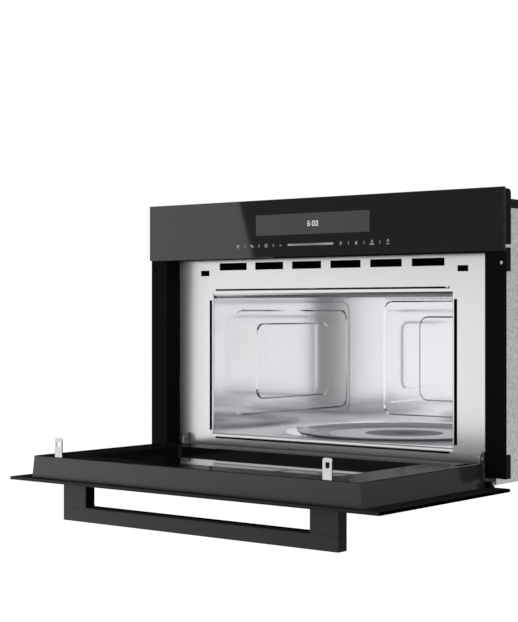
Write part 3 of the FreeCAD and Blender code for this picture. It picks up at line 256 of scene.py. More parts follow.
def mottled(tree, size_mm, detail, low, high):
    """Number or colour that runs from low to high in clouds of a real size."""
    cloud = speckle(tree, size_mm, detail)
    if isinstance(low, float):
        return add_node(tree, RANGE, {"Value": cloud, "To Min": low, "To Max": high})
    return add_node(tree, RAMP, {"Fac": cloud}, ((0.0, low), (1.0, high)))


def patterned(tree, pattern, tones, roughness, gloss):
    """Skin whose colour and roughness run with one pattern; gloss holds the other inputs."""
    smooth, rough = roughness
    return add_node(tree, PRINCIPLED, {
        "Base Color": add_node(tree, RAMP, {"Fac": pattern}, zip((0.0, 1.0), tones)),
        "Roughness": add_node(tree, RANGE, {"Value": pattern, "To Min": smooth, "To Max": rough}), **gloss})


def in_window(tree, place):
    """Mask that is 1 in and just round the door's window, where painted shade goes."""
    low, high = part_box("door_inner_pane")
    across = add_node(tree, MATH, {0: place["X"], 1: 0.0, 2: high[0] + WINDOW_SIDE}, operation="COMPARE")
    deep = add_node(tree, MATH, {
        0: place["Y"], 1: (low[1] + high[1]) / 2, 2: (high[1] - low[1]) / 2 + WINDOW_END},
        operation="COMPARE")
    return add_node(tree, MATH, {0: across, 1: deep}, operation="MULTIPLY")


def recolour(tree, shader, where, colour):
    """Gives a shader another base colour where a mask is 1."""
    socket = shader.inputs["Base Color"]
    base = socket.links[0].from_socket if socket.links else tuple(socket.default_value)
    tone = add_node(tree, "ShaderNodeMix", {
        "Factor": where, COLOUR_A: base, COLOUR_B: colour}, data_type="RGBA")
    tree.links.new(tone.outputs[COLOUR_MIX], socket)
    return shader


def black_glass(tree):
    """Polished float glass with a black ceramic print behind it: near black, with sharp faint reflections.

    Its ends are painted near black as shade, and made metallic so that they mirror little."""
    face = add_node(tree, MATH, {
        0: axes(tree)["X"], 1: 0.0, 2: PANEL_HIGH[0] - SHADED_GLASS_END}, operation="COMPARE")
    edges = add_node(tree, MATH, {0: 1.0, 1: face}, operation="SUBTRACT")
    bump = add_node(tree, "ShaderNodeBump", {
        "Height": speckle(tree, 140.0, 0.0), "Strength": 0.02, "Distance": 0.2 * MM})
    shader = add_node(tree, PRINCIPLED, {
        "Base Color": colours().panel_print, "Metallic": edges, "IOR": 1.52,
        "Roughness": mottled(tree, 60.0, 3.0, 0.015, 0.05), "Normal": bump})
    # Painted shade: the glass ends are near black and metallic, so they hardly mirror.
    return recolour(tree, shader, edges, srgb("#030303"))


def display_filter(tree):
    """Smoked acrylic display filter: an even dark grey with a faint sheen."""
    base = colours().display_filter
    return add_node(tree, PRINCIPLED, {
        "Base Color": mottled(tree, 1.2, 2.0, shade(base, 0.94), shade(base, 1.06)),
        "Roughness": 0.12, "IOR": 1.49, "Specular IOR Level": 0.15})


def grained(tree, colour, roughness, depth, gloss):
    """Opaque moulded or coated skin with a grain of half a millimetre; gloss holds the other inputs."""
    grain = speckle(tree, 0.5, 2.0)
    bump = add_node(tree, "ShaderNodeBump", {"Height": grain, "Strength": depth, "Distance": 0.02 * MM})
    return add_node(tree, PRINCIPLED, {
        "Base Color": mottled(tree, 45.0, 3.0, shade(colour, 0.9), shade(colour, 1.1)),
        "Roughness": add_node(tree, RANGE, {
            "Value": grain, "To Min": roughness - 0.05, "To Max": roughness + 0.05}),
        "IOR": 1.5, "Normal": bump, **gloss})


def moulded_black(tree):
    """Spark-eroded black ABS: satin, with a fine even grain."""
    return grained(tree, colours().trim_black, 0.5, 0.35, {"Specular IOR Level": 0.02})


def coated_black(tree):
    """Black-grey powder coat on the door frame's sides, under thin lacquer; its upper face and the margin
    round its window are painted near black as shade.
    """
    shader = grained(tree, colours().door_black, 0.6, 0.2, {
        "Specular IOR Level": 0.0, "Coat Weight": 0.24, "Coat Roughness": 0.12})
    place = axes(tree)
    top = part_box("door_inner_frame")[1][2] - SHADED_FRAME_TOP
    # Painted shade on the upper face and round the window.
    face = add_node(tree, MATH, {0: place["Z"], 1: top}, operation="GREATER_THAN")
    dark = add_node(tree, MATH, {0: face, 1: in_window(tree, place)}, operation="MAXIMUM")
    return recolour(tree, shader, dark, colours().painted_shade_black)


def anodised_black(tree):
    """Black anodised aluminium, brushed along the bar: fine satin streaks; its upper side between the posts
    is painted dark as the shade under the door.
    """
    base = colours().handle_black
    shader = patterned(
        tree, streaks(tree, (60.0, 0.5, 0.5), 3.0), (shade(base, 0.85), shade(base, 1.15)), (0.42, 0.55),
        {"IOR": 1.5, "Specular IOR Level": 0.0})
    place = axes(tree)
    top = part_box("handle_bar")[1][2] - SHADED_BAR_TOP
    # Painted shade on the bar's upper side, under the door.
    upper = add_node(tree, MATH, {0: place["Z"], 1: top}, operation="GREATER_THAN")
    between = add_node(tree, MATH, {
        0: place["X"], 1: 0.0, 2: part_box("right_handle_post")[0][0]}, operation="COMPARE")
    dark = add_node(tree, MATH, {0: upper, 1: between}, operation="MULTIPLY")
    return recolour(tree, shader, dark, colours().painted_shade_black)


def rolled_steel(tree, colour, smooth, rough, **special):
    """Steel sheet with rolling marks a hand long, drawn a millimetre wide, coarser than life, to show."""
    return patterned(
        tree, streaks(tree, (90.0, 90.0, 0.9), 4.0), (shade(colour, 0.97), shade(colour, 1.0)),
        (smooth, rough), {"Metallic": 1.0, **special})


def satin_stainless(tree):
    """Stainless sheet with a fine satin: bright, its soft reflections drawn out sideways by the finish."""
    return rolled_steel(tree, colours().steel, 0.26, 0.32, Anisotropic=0.85)


def bright_stainless(tree):
    """Bright annealed stainless sheet of the cavity: mirrors softly, duller at the wiped foot."""
    shader = rolled_steel(tree, colours().cavity_steel, 0.07, 0.11)
    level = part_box("cavity_floor")[1][2]
    foot = add_node(tree, RANGE, {
        "Value": axes(tree)["Z"], "From Min": level, "From Max": level + WIPED_FOOT,
        "To Min": 0.24, "To Max": 0.0})
    polish = shader.inputs["Roughness"].links[0].from_socket
    dull = add_node(tree, MATH, {0: polish, 1: foot}, operation="MAXIMUM")
    tree.links.new(dull.outputs[0], shader.inputs["Roughness"])
    return shader


def drawn_stainless(tree):
    """Deep-drawn sheet of the cavity's floor: dull, with drawing marks fanned round the recess."""
    form = bpy.context.scene.microwave_turntable
    vector, reach = about_plate(tree, 1.0)
    angle = add_node(tree, "ShaderNodeTexGradient", {"Vector": vector}, gradient_type="RADIAL")
    turns = add_node(tree, MATH, {0: angle.outputs["Fac"], 1: DRAWING_MARKS}, operation="MULTIPLY")
    marks = add_node(tree, "ShaderNodeTexNoise", {
        "W": turns, "Scale": 1.0, "Detail": 2.0}, noise_dimensions="1D")
    wall = add_node(tree, MATH, {
        0: reach, 1: form.recess - form.recess_slope / 2, 2: form.recess_slope}, operation="COMPARE")
    height = add_node(tree, MATH, {0: wall, 1: marks}, operation="MULTIPLY")
    bump = add_node(tree, "ShaderNodeBump", {"Height": height, "Strength": 1.0, "Distance": 1.2 * MM})
    return rolled_steel(tree, colours().cavity_steel, 0.09, 0.14, Metallic=0.9, Normal=bump)


def galvanised(tree):
    """Hot-dip zinc coated sheet: a frozen mosaic of grey spangles some millimetres wide."""
    spangle = flakes(tree, 2.6)
    mixed = add_node(tree, "ShaderNodeMix", {
        "Factor": 0.45, NUMBER_A: spangle["Red"], NUMBER_B: speckle(tree, 1.2, 4.0)}, data_type="FLOAT")
    base = colours().zinc
    tone = add_node(tree, RAMP, {"Fac": mixed}, ((0.2, shade(base, 0.78)), (0.8, shade(base, 1.22))))
    rough = add_node(tree, RANGE, {"Value": spangle["Green"], "To Min": 0.3, "To Max": 0.55})
    return add_node(tree, PRINCIPLED, {"Base Color": tone, "Metallic": 0.75, "Roughness": rough})


def powder_black(tree):
    """Black powder coat on steel: matt with a slight orange peel."""
    peel = speckle(tree, 1.5, 1.0)
    bump = add_node(tree, "ShaderNodeBump", {"Height": peel, "Strength": 0.3, "Distance": 0.05 * MM})
    rough = add_node(tree, RANGE, {"Value": peel, "To Min": 0.5, "To Max": 0.62})
    return add_node(tree, PRINCIPLED, {
        "Base Color": srgb("#0e0e0f"), "Roughness": rough, "Specular IOR Level": 0.06, "Normal": bump})


def screen_enamel(tree):
    """Glossy black enamel on the shielding screen, which shines like the pane that it lies against."""
    return add_node(tree, PRINCIPLED, {
        "Base Color": mottled(tree, 8.0, 2.0, srgb("#070708"), srgb("#0b0b0c")),
        "Roughness": 0.03, "IOR": 1.5})


def bright_zinc(tree):
    """Bright zinc plated stampings: pale silver with small scuffs, darker where the sheet was sheared."""
    low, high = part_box("right_latch_tongue")
    shader = add_node(tree, PRINCIPLED, {
        "Base Color": srgb("#3c3c3d"), "Metallic": 0.85,
        "Roughness": mottled(tree, 3.0, 5.0, 0.25, 0.45)})
    side = add_node(tree, MATH, {0: axes(tree)["X"]}, operation="ABSOLUTE")
    plated = add_node(tree, MATH, {
        0: side, 1: (low[0] + high[0]) / 2, 2: (high[0] - low[0]) / 2 - SHEARED_EDGE}, operation="COMPARE")
    return recolour(tree, shader, plated, srgb("#d4d4d5"))


def dull_zinc(tree):
    """Blued zinc plate on stampings, screws and motor shells: grey silver, cloudy where it was handled."""
    return patterned(tree, speckle(tree, 4.0, 5.0), (srgb("#7c7c7e"), srgb("#a4a4a6")), (0.3, 0.5),
                     {"Metallic": 0.85})


def glass_enamel(tree):
    """Black ceramic enamel fired on the inner side and the ground edges of the door glass: dead matt; its
    right edge and its window are painted near black as shade.
    """
    shader = add_node(tree, PRINCIPLED, {
        "Base Color": mottled(tree, 1.0, 3.0, srgb("#2c2c2c"), srgb("#3a3a3a")),
        "Roughness": 0.8, "IOR": 1.5, "Specular IOR Level": 0.0})
    place = axes(tree)
    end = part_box("door_outer_glass")[1][0]
    # Painted shade on the right edge and in the window, behind the screen.
    edge = add_node(tree, MATH, {0: place["X"], 1: end}, operation="GREATER_THAN")
    dark = add_node(tree, MATH, {0: edge, 1: in_window(tree, place)}, operation="MAXIMUM")
    return recolour(tree, shader, dark, srgb("#050505"))


def clear_glass(tree):
    """Toughened soda-lime glass: clear, with a faint green in its thickness."""
    return add_node(tree, PRINCIPLED, {
        "Base Color": srgb("#f2f6f4"), "Roughness": mottled(tree, 30.0, 2.0, 0.0, 0.03),
        "IOR": 1.5, "Transmission Weight": 1.0})


def smoked_glass(tree):
    """Inner pane of the door: deep smoked glass, which mirrors at a low angle and hides the screen."""
    return add_node(tree, PRINCIPLED, {
        "Base Color": srgb("#121213"), "Roughness": mottled(tree, 50.0, 2.0, 0.01, 0.04),
        "IOR": 1.5, "Transmission Weight": 0.5})


def ring_tones(tree, rings):
    """Colour that changes with the distance from the turntable's middle."""
    reach = about_plate(tree, PLATE_RADIUS)[1]
    return add_node(tree, RAMP, {"Fac": reach}, [
        (radius / PLATE_RADIUS, srgb(code)) for radius, code in rings])


def reflection_painted_glass(tree):
    """Pressed turntable glass, matt: a grey middle and a pale field painted in as reflection, the same at
    any angle.
    """
    form = bpy.context.scene.microwave_turntable
    # Painted reflection: the tones of the plate's middle and field.
    rings = ((10 * MM, "#464449"), (24 * MM, "#58565c"), (form.inner_ring - RING_BLUR, "#605e64"),
             (form.inner_ring + RING_BLUR, "#9e9ca1"), (form.outer_ring, "#9a989d"))
    return add_node(tree, PRINCIPLED, {
        "Base Color": ring_tones(tree, rings), "Roughness": mottled(tree, 1.5, 2.0, 0.5, 0.7),
        "IOR": 1.5, "Specular IOR Level": 0.0})


def polished_glass(tree):
    """Fire-polished outer ring and rim of the turntable: dark grey painted in as reflection, lighter
    towards the rim, under a clear, mirroring skin.
    """
    form = bpy.context.scene.microwave_turntable
    # Painted reflection: the dark tones of the outer ring and rim.
    rings = ((form.outer_ring, "#625f66"), (140 * MM, "#6c6a71"), (154 * MM, "#848288"))
    return add_node(tree, PRINCIPLED, {
        "Base Color": ring_tones(tree, rings), "IOR": 1.5, "Specular IOR Level": 0.2,
        "Roughness": mottled(tree, 12.0, 2.0, 0.03, 0.08), "Transmission Weight": 0.1})


def moulded_plastic(code, roughness):
    """Builder of a plain technical moulding, such as nylon, with a fine flow texture."""
    def build(tree):
        return add_node(tree, PRINCIPLED, {
            "Base Color": mottled(tree, 6.0, 3.0, shade(srgb(code), 0.92), shade(srgb(code), 1.05)),
            "Roughness": roughness, "IOR": 1.53})
    return build


def pearly_mica(tree):
    """Pressed muscovite mica sheet: silvery and pearly, with pale flakes some millimetres wide."""
    tone = add_node(tree, RAMP, {"Fac": flakes(tree, 5.0)["Red"]}, (
        (0.0, srgb("#efefed")), (1.0, srgb("#f6f6f5"))))
    return add_node(tree, PRINCIPLED, {"Base Color": tone, "Metallic": 0.95, "Roughness": 0.1})


def printed_white(tree):
    """White screen-printed enamel on the glass, lit softly from behind."""
    ink = colours().mark_white
    return add_node(tree, PRINCIPLED, {
        "Base Color": ink, "Roughness": 0.5, "Emission Color": ink,
        "Emission Strength": mottled(tree, 0.6, 1.0, 0.35, 0.5)})


def slider_print(tree):
    """Grey screen-printed touch bar, lighter towards its ends."""
    marks = bpy.context.scene.microwave_marks
    place = add_node(tree, "ShaderNodeTexCoord").outputs["Object"]
    along = add_node(tree, "ShaderNodeMapping", {
        "Vector": place, "Scale": (1 / marks.slider_length, 0.0, 0.0),
        "Location": (0.5 - marks.row_shift / marks.slider_length, 0.0, 0.0)})
    share = add_node(tree, "ShaderNodeSeparateXYZ", {"Vector": along})
    greys = ((0.0, "#a2a2a2"), (0.12, "#808080"), (0.55, "#767676"), (0.8, "#969696"), (1.0, "#a8a8a8"))
    tone = add_node(tree, RAMP, {"Fac": share}, [(position, srgb(code)) for position, code in greys])
    return add_node(tree, PRINCIPLED, {
        "Base Color": tone, "Roughness": 0.5, "Emission Color": tone, "Emission Strength": 0.28})


def lit_white(tree):
    """Light-emitting segments of the clock: an even cool white."""
    return add_node(tree, PRINCIPLED, {
        "Base Color": srgb("#202020"), "Roughness": 0.4, "Emission Color": srgb("#f6f8ff"),
        "Emission Strength": mottled(tree, 2.0, 1.0, 0.9, 1.1)})


# Material, its builder and the CAD nodes that get it.
BODY_FINISHES = (
    ("black_printed_glass", black_glass, "control_panel_glass door_outer_glass"),
    ("moulded_black_abs", moulded_black,
     "control_panel_carrier left_side_trim right_side_trim left_hinge_block right_hinge_block"),
    ("coated_black_frame", coated_black, "door_inner_frame"),
    ("anodised_black_aluminium", anodised_black, "handle_bar left_handle_post right_handle_post"),
    ("satin_stainless_steel", satin_stainless, "front_frame"),
    ("bright_stainless_steel", bright_stainless,
     "cavity_left_wall cavity_right_wall cavity_ceiling cavity_rear_wall"),
    ("galvanised_steel", galvanised,
     "left_case_side right_case_side base_plate rear_panel component_tray waveguide"),
    ("black_screen_enamel", screen_enamel, "door_screen"),
    ("black_powder_coat", powder_black, "top_cover air_duct cord_gland"),
    ("bright_zinc_plate", bright_zinc, "left_latch_tongue right_latch_tongue"),
    ("dull_zinc_plate", dull_zinc,
     "left_hinge_arm right_hinge_arm left_hinge_pin right_hinge_pin case_screws handle_screws"
     " fan_motor turntable_motor magnetron"),
    ("clear_toughened_glass", clear_glass, "lamp_bulb"),
    ("smoked_pane_glass", smoked_glass, "door_inner_pane"),
    ("grey_roller_polymer", moulded_plastic("#8a8a8c", 0.45),
     "roller_ring roller_1 roller_2 roller_3 turntable_coupler"),
    ("black_nylon", moulded_plastic("#101011", 0.5),
     "left_interlock_bracket right_interlock_bracket left_switch_plunger right_switch_plunger"),
    ("dark_grey_polymer", moulded_plastic("#3a3a3c", 0.5),
     "fan_shroud fan_impeller interlock_switches lamp_holder thermal_cutout display_module"),
    ("green_circuit_board", moulded_plastic("#2f5a3a", 0.4),
     "touch_sensor_board inverter_board noise_filter_board"),
    ("pearly_mica_sheet", pearly_mica, "waveguide_cover"),
)


class MICROWAVE_OT_body_finishes(bpy.types.Operator):
    """Give every CAD piece of the oven its finish"""

    bl_idname = "microwave.body_finishes"
    bl_label = "Body finishes"

    def execute(self, context):
        for name, build, nodes in BODY_FINISHES:
            material = make_material(name, build)
            for node in nodes.split():
                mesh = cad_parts[node].data
                mesh.materials.clear()
                mesh.materials.append(material)
        return {"FINISHED"}


def begin():
    """Deselects everything, so that the next steps act on the new piece alone."""
    bpy.ops.object.select_all(action="DESELECT")


def settle():
    """Applies the active object's place, turn and size to its mesh."""
    bpy.ops.object.transform_apply(location=True, rotation=True, scale=True)
    return bpy.context.object


def edit(kind, wanted=None):
    """Edit mode with the whole mesh selected, or only the edges or faces that pass a test."""
    bpy.ops.object.mode_set(mode="EDIT")
    bpy.ops.mesh.select_mode(type=kind)
    bpy.ops.mesh.select_all(action="DESELECT" if wanted else "SELECT")
    if wanted:
        bpy.ops.object.mode_set(mode="OBJECT")
        mesh = bpy.context.object.data
        for item in mesh.edges if kind == "EDGE" else mesh.polygons:
            item.select = wanted(item)
        bpy.ops.object.mode_set(mode="EDIT")


def ends(edge):
    """Places of the two ends of an edge of the active object."""
    return [bpy.context.object.data.vertices[index].co for index in edge.vertices]


def close_shell():
    """Turns all faces outwards and leaves edit mode."""
    bpy.ops.mesh.select_all(action="SELECT")
    bpy.ops.mesh.normals_make_consistent(inside=False)
    bpy.ops.object.mode_set(mode="OBJECT")


def thicken(sheet, thickness, offset):
    """Gives a sheet its thickness, below its faces with offset -1 and above them with 1."""
    wall = sheet.modifiers.new("wall", "SOLIDIFY")
    wall.thickness, wall.offset = thickness, offset
    bpy.ops.object.modifier_apply(modifier=wall.name)


def join_as(name, pieces, material, body):
    """Joins pieces into one named object that rides on a body."""
    begin()
    for piece in pieces:
        piece.select_set(True)
    bpy.context.view_layer.objects.active = pieces[0]
    if len(pieces) > 1:
        bpy.ops.object.join()
    made = bpy.context.object
    made.name = made.data.name = name
    made.data.materials.clear()
    made.data.materials.append(material)
    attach(made, body)
    return made


def extrude_rings(profile, centre):
    """Carries the selected ring of edges through pairs of radius and height, the first being its own."""
    for (radius, level), (next_radius, next_level) in zip(profile, profile[1:]):
        bpy.ops.mesh.extrude_edges_move(TRANSFORM_OT_translate={"value": (0.0, 0.0, next_level - level)})
        share = next_radius / radius
        bpy.ops.transform.resize(value=(share, share, 1.0), center_override=(*centre, next_level))


def lathe(profile, centre, sides):
    """Closed round body from its middle outwards and back, through pairs of radius and height."""
    begin()
    radius, level = profile[0]
    bpy.ops.mesh.primitive_circle_add(vertices=sides, radius=radius, fill_type="NGON",
                                      location=(*centre, level))
    settle()
    edit("EDGE")
    bpy.ops.mesh.region_to_loop()
    extrude_rings(profile, centre)
    bpy.ops.mesh.edge_face_add()
    close_shell()
    return bpy.context.object


# Curve of the plate's rim, in millimetres in from its edge and down from its top.
RIM_CURVE = ((4.2, 1.2), (2.0, 0.2), (1.0, 0.0), (0.2, 0.4), (0.0, 1.2), (1.0, 2.4))
# Curve of a driving lug, in millimetres of radius and of height over its tip.
LUG_CURVE = ((2.0, 0.0), (2.6, 0.4), (3.0, 1.2))
LUGS = 3


class MICROWAVE_OT_turntable(bpy.types.Operator):
    """Press the round glass plate with its rings, its rim and its driving lugs"""

    bl_idname = "microwave.turntable"
    bl_label = "Turntable"

    def execute(self, context):
        form = context.scene.microwave_turntable
        tip, top = PLATE_LOW[2], PLATE_HIGH[2]
        under = top - form.rim_height
        face = under + form.glass
        flat = PLATE_RADIUS - form.rim
        step = form.ring_step
        field = face - 2 * step
        core = 2 * MM
        profile = [(core, face), (form.inner_ring, face), (form.inner_ring + step, face - step),
                   (form.outer_ring - step, face - step), (form.outer_ring, field), (flat - 2 * MM, field),
                   (flat + 3 * MM, field + 0.9 * MM)]
        profile += [(PLATE_RADIUS - inset * MM, top - drop * MM) for inset, drop in RIM_CURVE]
        profile += [(flat + 2 * MM, under + 0.6 * MM), (flat, under), (core, under)]
        pieces = [lathe(profile, PLATE_CENTRE, PLATE_SIDES)]
        lug = [(radius * MM, tip + height * MM) for radius, height in LUG_CURVE]
        lug.append((lug[-1][0], under + MM))
        for index in range(LUGS):
            turn = 2 * math.pi * (index + 0.5) / LUGS
            spot = (PLATE_CENTRE[0] + form.lug_circle * math.cos(turn),
                    PLATE_CENTRE[1] + form.lug_circle * math.sin(turn))
            pieces.append(lathe(lug, spot, LUG_SIDES))
        # The plate's middle and field carry painted reflection.
        frosted = make_material("reflection_painted_turntable_glass", reflection_painted_glass)
        plate = join_as("turntable_plate", pieces, frosted, "turntable")
        plate.data.materials.append(make_material("polished_turntable_glass", polished_glass))
        for side in plate.data.polygons:
            if math.dist(side.center[:2], PLATE_CENTRE) > form.outer_ring:
                side.material_index = 1
        bpy.ops.object.shade_smooth_by_angle(angle=CREASE)
        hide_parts("glass_turntable")
        return {"FINISHED"}


class MICROWAVE_OT_cavity_floor(bpy.types.Operator):
    """Draw the cavity's floor sheet with its round recess"""

    bl_idname = "microwave.cavity_floor"
    bl_label = "Cavity floor"

    def execute(self, context):
        form = context.scene.microwave_turntable
        low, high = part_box("cavity_floor")
        top = high[2]
        bottom = low[2] + form.sheet
        begin()
        bpy.ops.mesh.primitive_plane_add(
            size=1.0, location=((low[0] + high[0]) / 2, (low[1] + high[1]) / 2, top))
        sheet = bpy.context.object
        sheet.scale = (high[0] - low[0], high[1] - low[1], 1.0)
        settle()
        edit("EDGE")
        bpy.ops.mesh.delete(type="ONLY_FACE")
        bpy.ops.mesh.select_all(action="SELECT")
        bpy.ops.mesh.subdivide(number_cuts=PLATE_SIDES // 4 - 1)
        bpy.ops.mesh.select_all(action="DESELECT")
        edge = form.recess + 1.5 * MM
        bpy.ops.mesh.primitive_circle_add(vertices=PLATE_SIDES, radius=edge, location=(*PLATE_CENTRE, top))
        bpy.ops.mesh.select_all(action="SELECT")
        bpy.ops.mesh.bridge_edge_loops()
        bpy.ops.object.mode_set(mode="OBJECT")
        edit("EDGE", lambda side: all(
            math.dist(end[:2], PLATE_CENTRE) < edge + 0.1 * MM for end in ends(side)))
        foot = form.recess - form.recess_slope
        extrude_rings([
            (edge, top), (form.recess + 0.4 * MM, top - 0.3 * MM), (form.recess - 0.5 * MM, top - 1.0 * MM),
            (foot + 1.4 * MM, bottom + 1.9 * MM), (foot + 0.2 * MM, bottom + 0.6 * MM),
            (foot - 1.6 * MM, bottom), (form.shaft_hole, bottom)], PLATE_CENTRE)
        close_shell()
        if sum(face.normal.z * face.area for face in sheet.data.polygons) < 0:
            edit("FACE")
            bpy.ops.mesh.flip_normals()
            bpy.ops.object.mode_set(mode="OBJECT")
        thicken(sheet, form.sheet, -1.0)
        steel = make_material("drawn_stainless_steel", drawn_stainless)
        pan = join_as("floor_pan", [sheet], steel, HOUSING)
        bpy.ops.object.shade_smooth_by_angle(angle=CREASE)
        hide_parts("cavity_floor")
        return {"FINISHED"}


class MICROWAVE_OT_door_enamel(bpy.types.Operator):
    """Fire the black enamel on the inner side and the edges of the door glass"""

    bl_idname = "microwave.door_enamel"
    bl_label = "Door enamel"

    def execute(self, context):
        low, high = (Vector(corner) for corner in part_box("door_outer_glass"))
        begin()
        bpy.ops.mesh.primitive_cube_add(size=1, location=(low + high) / 2)
        coat = bpy.context.object
        coat.scale = high - low
        settle()
        edit("FACE", lambda side: side.normal.z < -0.5)
        bpy.ops.mesh.delete(type="FACE")
        bpy.ops.object.mode_set(mode="OBJECT")
        thicken(coat, INK, 1.0)
        enamel = make_material("black_glass_enamel", glass_enamel)
        coat = join_as("door_glass_enamel", [coat], enamel, "door")
        return {"FINISHED"}


def bar(width, height, centre, corner, turn=0.0):
    """Flat upright bar with round corners on the control glass, facing the user."""
    begin()
    bpy.ops.mesh.primitive_cube_add(size=1)
    piece = bpy.context.object
    piece.scale = (width, INK, height)
    settle()
    edit("EDGE", lambda edge: abs(ends(edge)[0].y - ends(edge)[1].y) > INK / 2)
    bpy.ops.mesh.bevel(offset=corner, segments=3, affect="EDGES")
    bpy.ops.object.mode_set(mode="OBJECT")
    piece.rotation_euler = (0.0, turn, 0.0)
    piece.location = (centre[0], PANEL_FACE - INK / 2, centre[1])
    return settle()


def raise_print(centre, turn=0.0):
    """Gives the flat outline in edit mode the thickness of a print and stands it on the control glass."""
    bpy.ops.mesh.select_all(action="SELECT")
    bpy.ops.mesh.extrude_region_move(TRANSFORM_OT_translate={"value": (0, 0, INK)})
    close_shell()
    piece = bpy.context.object
    piece.rotation_euler = (math.pi / 2, turn, 0.0)
    piece.location = (centre[0], PANEL_FACE, centre[1])
    return settle()


def ring(radius, width, centre):
    """Flat ring on the control glass."""
    begin()
    bpy.ops.mesh.primitive_circle_add(vertices=RING_SIDES, radius=radius, fill_type="NGON")
    edit("FACE")
    bpy.ops.mesh.inset(thickness=width)
    bpy.ops.mesh.delete(type="FACE")
    return raise_print(centre)


def polygon(sides, radius, centre, turn=0.0):
    """Flat filled polygon on the control glass."""
    begin()
    bpy.ops.mesh.primitive_circle_add(vertices=sides, radius=radius, fill_type="NGON")
    edit("FACE")
    return raise_print(centre, turn)


# Segments of a clock digit: steps to the side and up, and whether it lies flat; then those of each figure.
SEGMENTS = {
    "a": (0.0, 1.0, True), "b": (0.5, 0.5, False), "c": (0.5, -0.5, False), "d": (0.0, -1.0, True),
    "e": (-0.5, -0.5, False), "f": (-0.5, 0.5, False), "g": (0.0, 0.0, True),
}
DIGITS = {"0": "abcdef", "6": "acdefg"}
# The clock's figures and dots, in shares of a digit's height.
DIGIT_WIDTH, DIGIT_STROKE = 0.4, 0.115
CLOCK = (("6", -0.93), ("0", 0.19), ("0", 0.97))
DOT_RADIUS, DOT_SIDE, DOT_RISE = 0.075, -0.36, 0.17


def digit(figure, centre, height):
    """Seven-segment figure built of rounded bars."""
    width = height * DIGIT_WIDTH
    stroke = height * DIGIT_STROKE
    made = []
    for name in DIGITS[figure]:
        side, level, flat = SEGMENTS[name]
        place = (centre[0] + side * width, centre[1] + level * (height - stroke) / 2)
        size = (width, stroke) if flat else (stroke, height / 2)
        made.append(bar(*size, place, corner=stroke * 0.4))
    return made


class MICROWAVE_OT_display(bpy.types.Operator):
    """Make the smoked display window and its lit clock"""

    bl_idname = "microwave.display"
    bl_label = "Display"

    def execute(self, context):
        marks = context.scene.microwave_marks
        level = PANEL_HIGH[2] - marks.display_drop
        window = bar(marks.display_width, marks.display_height, (0.0, level), corner=0.6 * MM)
        acrylic = make_material("smoked_display_filter", display_filter)
        window = join_as("display_window", [window], acrylic, HOUSING)
        size = marks.digit_height
        start = marks.clock_shift
        pieces = []
        for figure, side in CLOCK:
            pieces += digit(figure, (start + size * side, level), size)
        for rise in (-DOT_RISE, DOT_RISE):
            spot = (start + size * DOT_SIDE, level + size * rise)
            pieces.append(polygon(DOT_SIDES, size * DOT_RADIUS, spot))
        for piece in pieces:
            for vertex in piece.data.vertices:
                vertex.co.y -= INK
        clock = join_as("clock_digits", pieces, make_material("lit_clock_white", lit_white), HOUSING)
        return {"FINISHED"}


class Pen:
    """Draws strokes on the control glass, in shares of a symbol's size about its middle."""

    def __init__(self, place, size):
        self.place = place
        self.size = size
        self.strokes = []

    def spot(self, x, z):
        """Place on the glass."""
        return (self.place[0] + x * self.size, self.place[1] + z * self.size)

    def bar(self, width, height, x=0.0, z=0.0, corner=0.05, turn=0.0):
        """Bar with round corners, turned by degrees."""
        self.strokes.append(bar(width * self.size, height * self.size, self.spot(x, z), corner * self.size,
                                math.radians(turn)))

    def ring(self, radius, width, x=0.0, z=0.0):
        """Round ring."""
        self.strokes.append(ring(radius * self.size, width * self.size, self.spot(x, z)))

    def wedge(self, radius, x, z, turn):
        """Triangle, turned by degrees."""
        self.strokes.append(polygon(3, radius * self.size, self.spot(x, z), math.radians(turn)))


def menu_mark(pen):
    """Programmes: three lines."""
    for level in (-0.34, 0.0, 0.34):
        pen.bar(0.9, 0.2, z=level, corner=0.04)


def power_mark(pen):
    """Power level: a wedge and a ring."""
    pen.wedge(0.46, -0.24, 0.2, turn=200)
    pen.ring(0.34, 0.13, 0.26, -0.24)


def clock_mark(pen):
    """Timer: a ring with two hands."""
    pen.ring(0.56, 0.14)
    pen.bar(0.12, 0.36, z=0.13, corner=0.03)
    pen.bar(0.12, 0.36, 0.1, -0.08, corner=0.03, turn=-50)


def minus_mark(pen):
    """Less."""
    pen.bar(0.8, 0.2)


def plus_mark(pen):
    """More."""
    pen.bar(1.05, 0.17)
    pen.bar(0.17, 1.3)


def bell_mark(pen):
    """Signal: a bell over its base."""
    pen.wedge(0.48, 0.0, 0.1, turn=-90)
    pen.bar(0.86, 0.2, z=-0.36)


def lock_mark(pen):
    """Child lock: a shackle over a block, underlined twice."""
    pen.ring(0.25, 0.11, z=0.44)
    pen.bar(0.56, 0.46, z=0.14, corner=0.06)
    for level in (-0.4, -0.72):
        pen.bar(1.5, 0.15, z=level)


def start_mark(pen):
    """Start: a square standing on its corner over two dashes."""
    for side in (-1, 1):
        for level in (-1, 1):
            pen.bar(0.66, 0.14, 0.22 * side, 0.3 + 0.22 * level, corner=0.04, turn=45 * side * level)
    for side in (-0.3, 0.3):
        pen.bar(0.46, 0.2, side, -0.62)


# Touch symbols on the left and the right of the slider, from the inside outwards.
LEFT_MARKS = (minus_mark, clock_mark, power_mark, menu_mark)
RIGHT_MARKS = (plus_mark, bell_mark, lock_mark, start_mark)


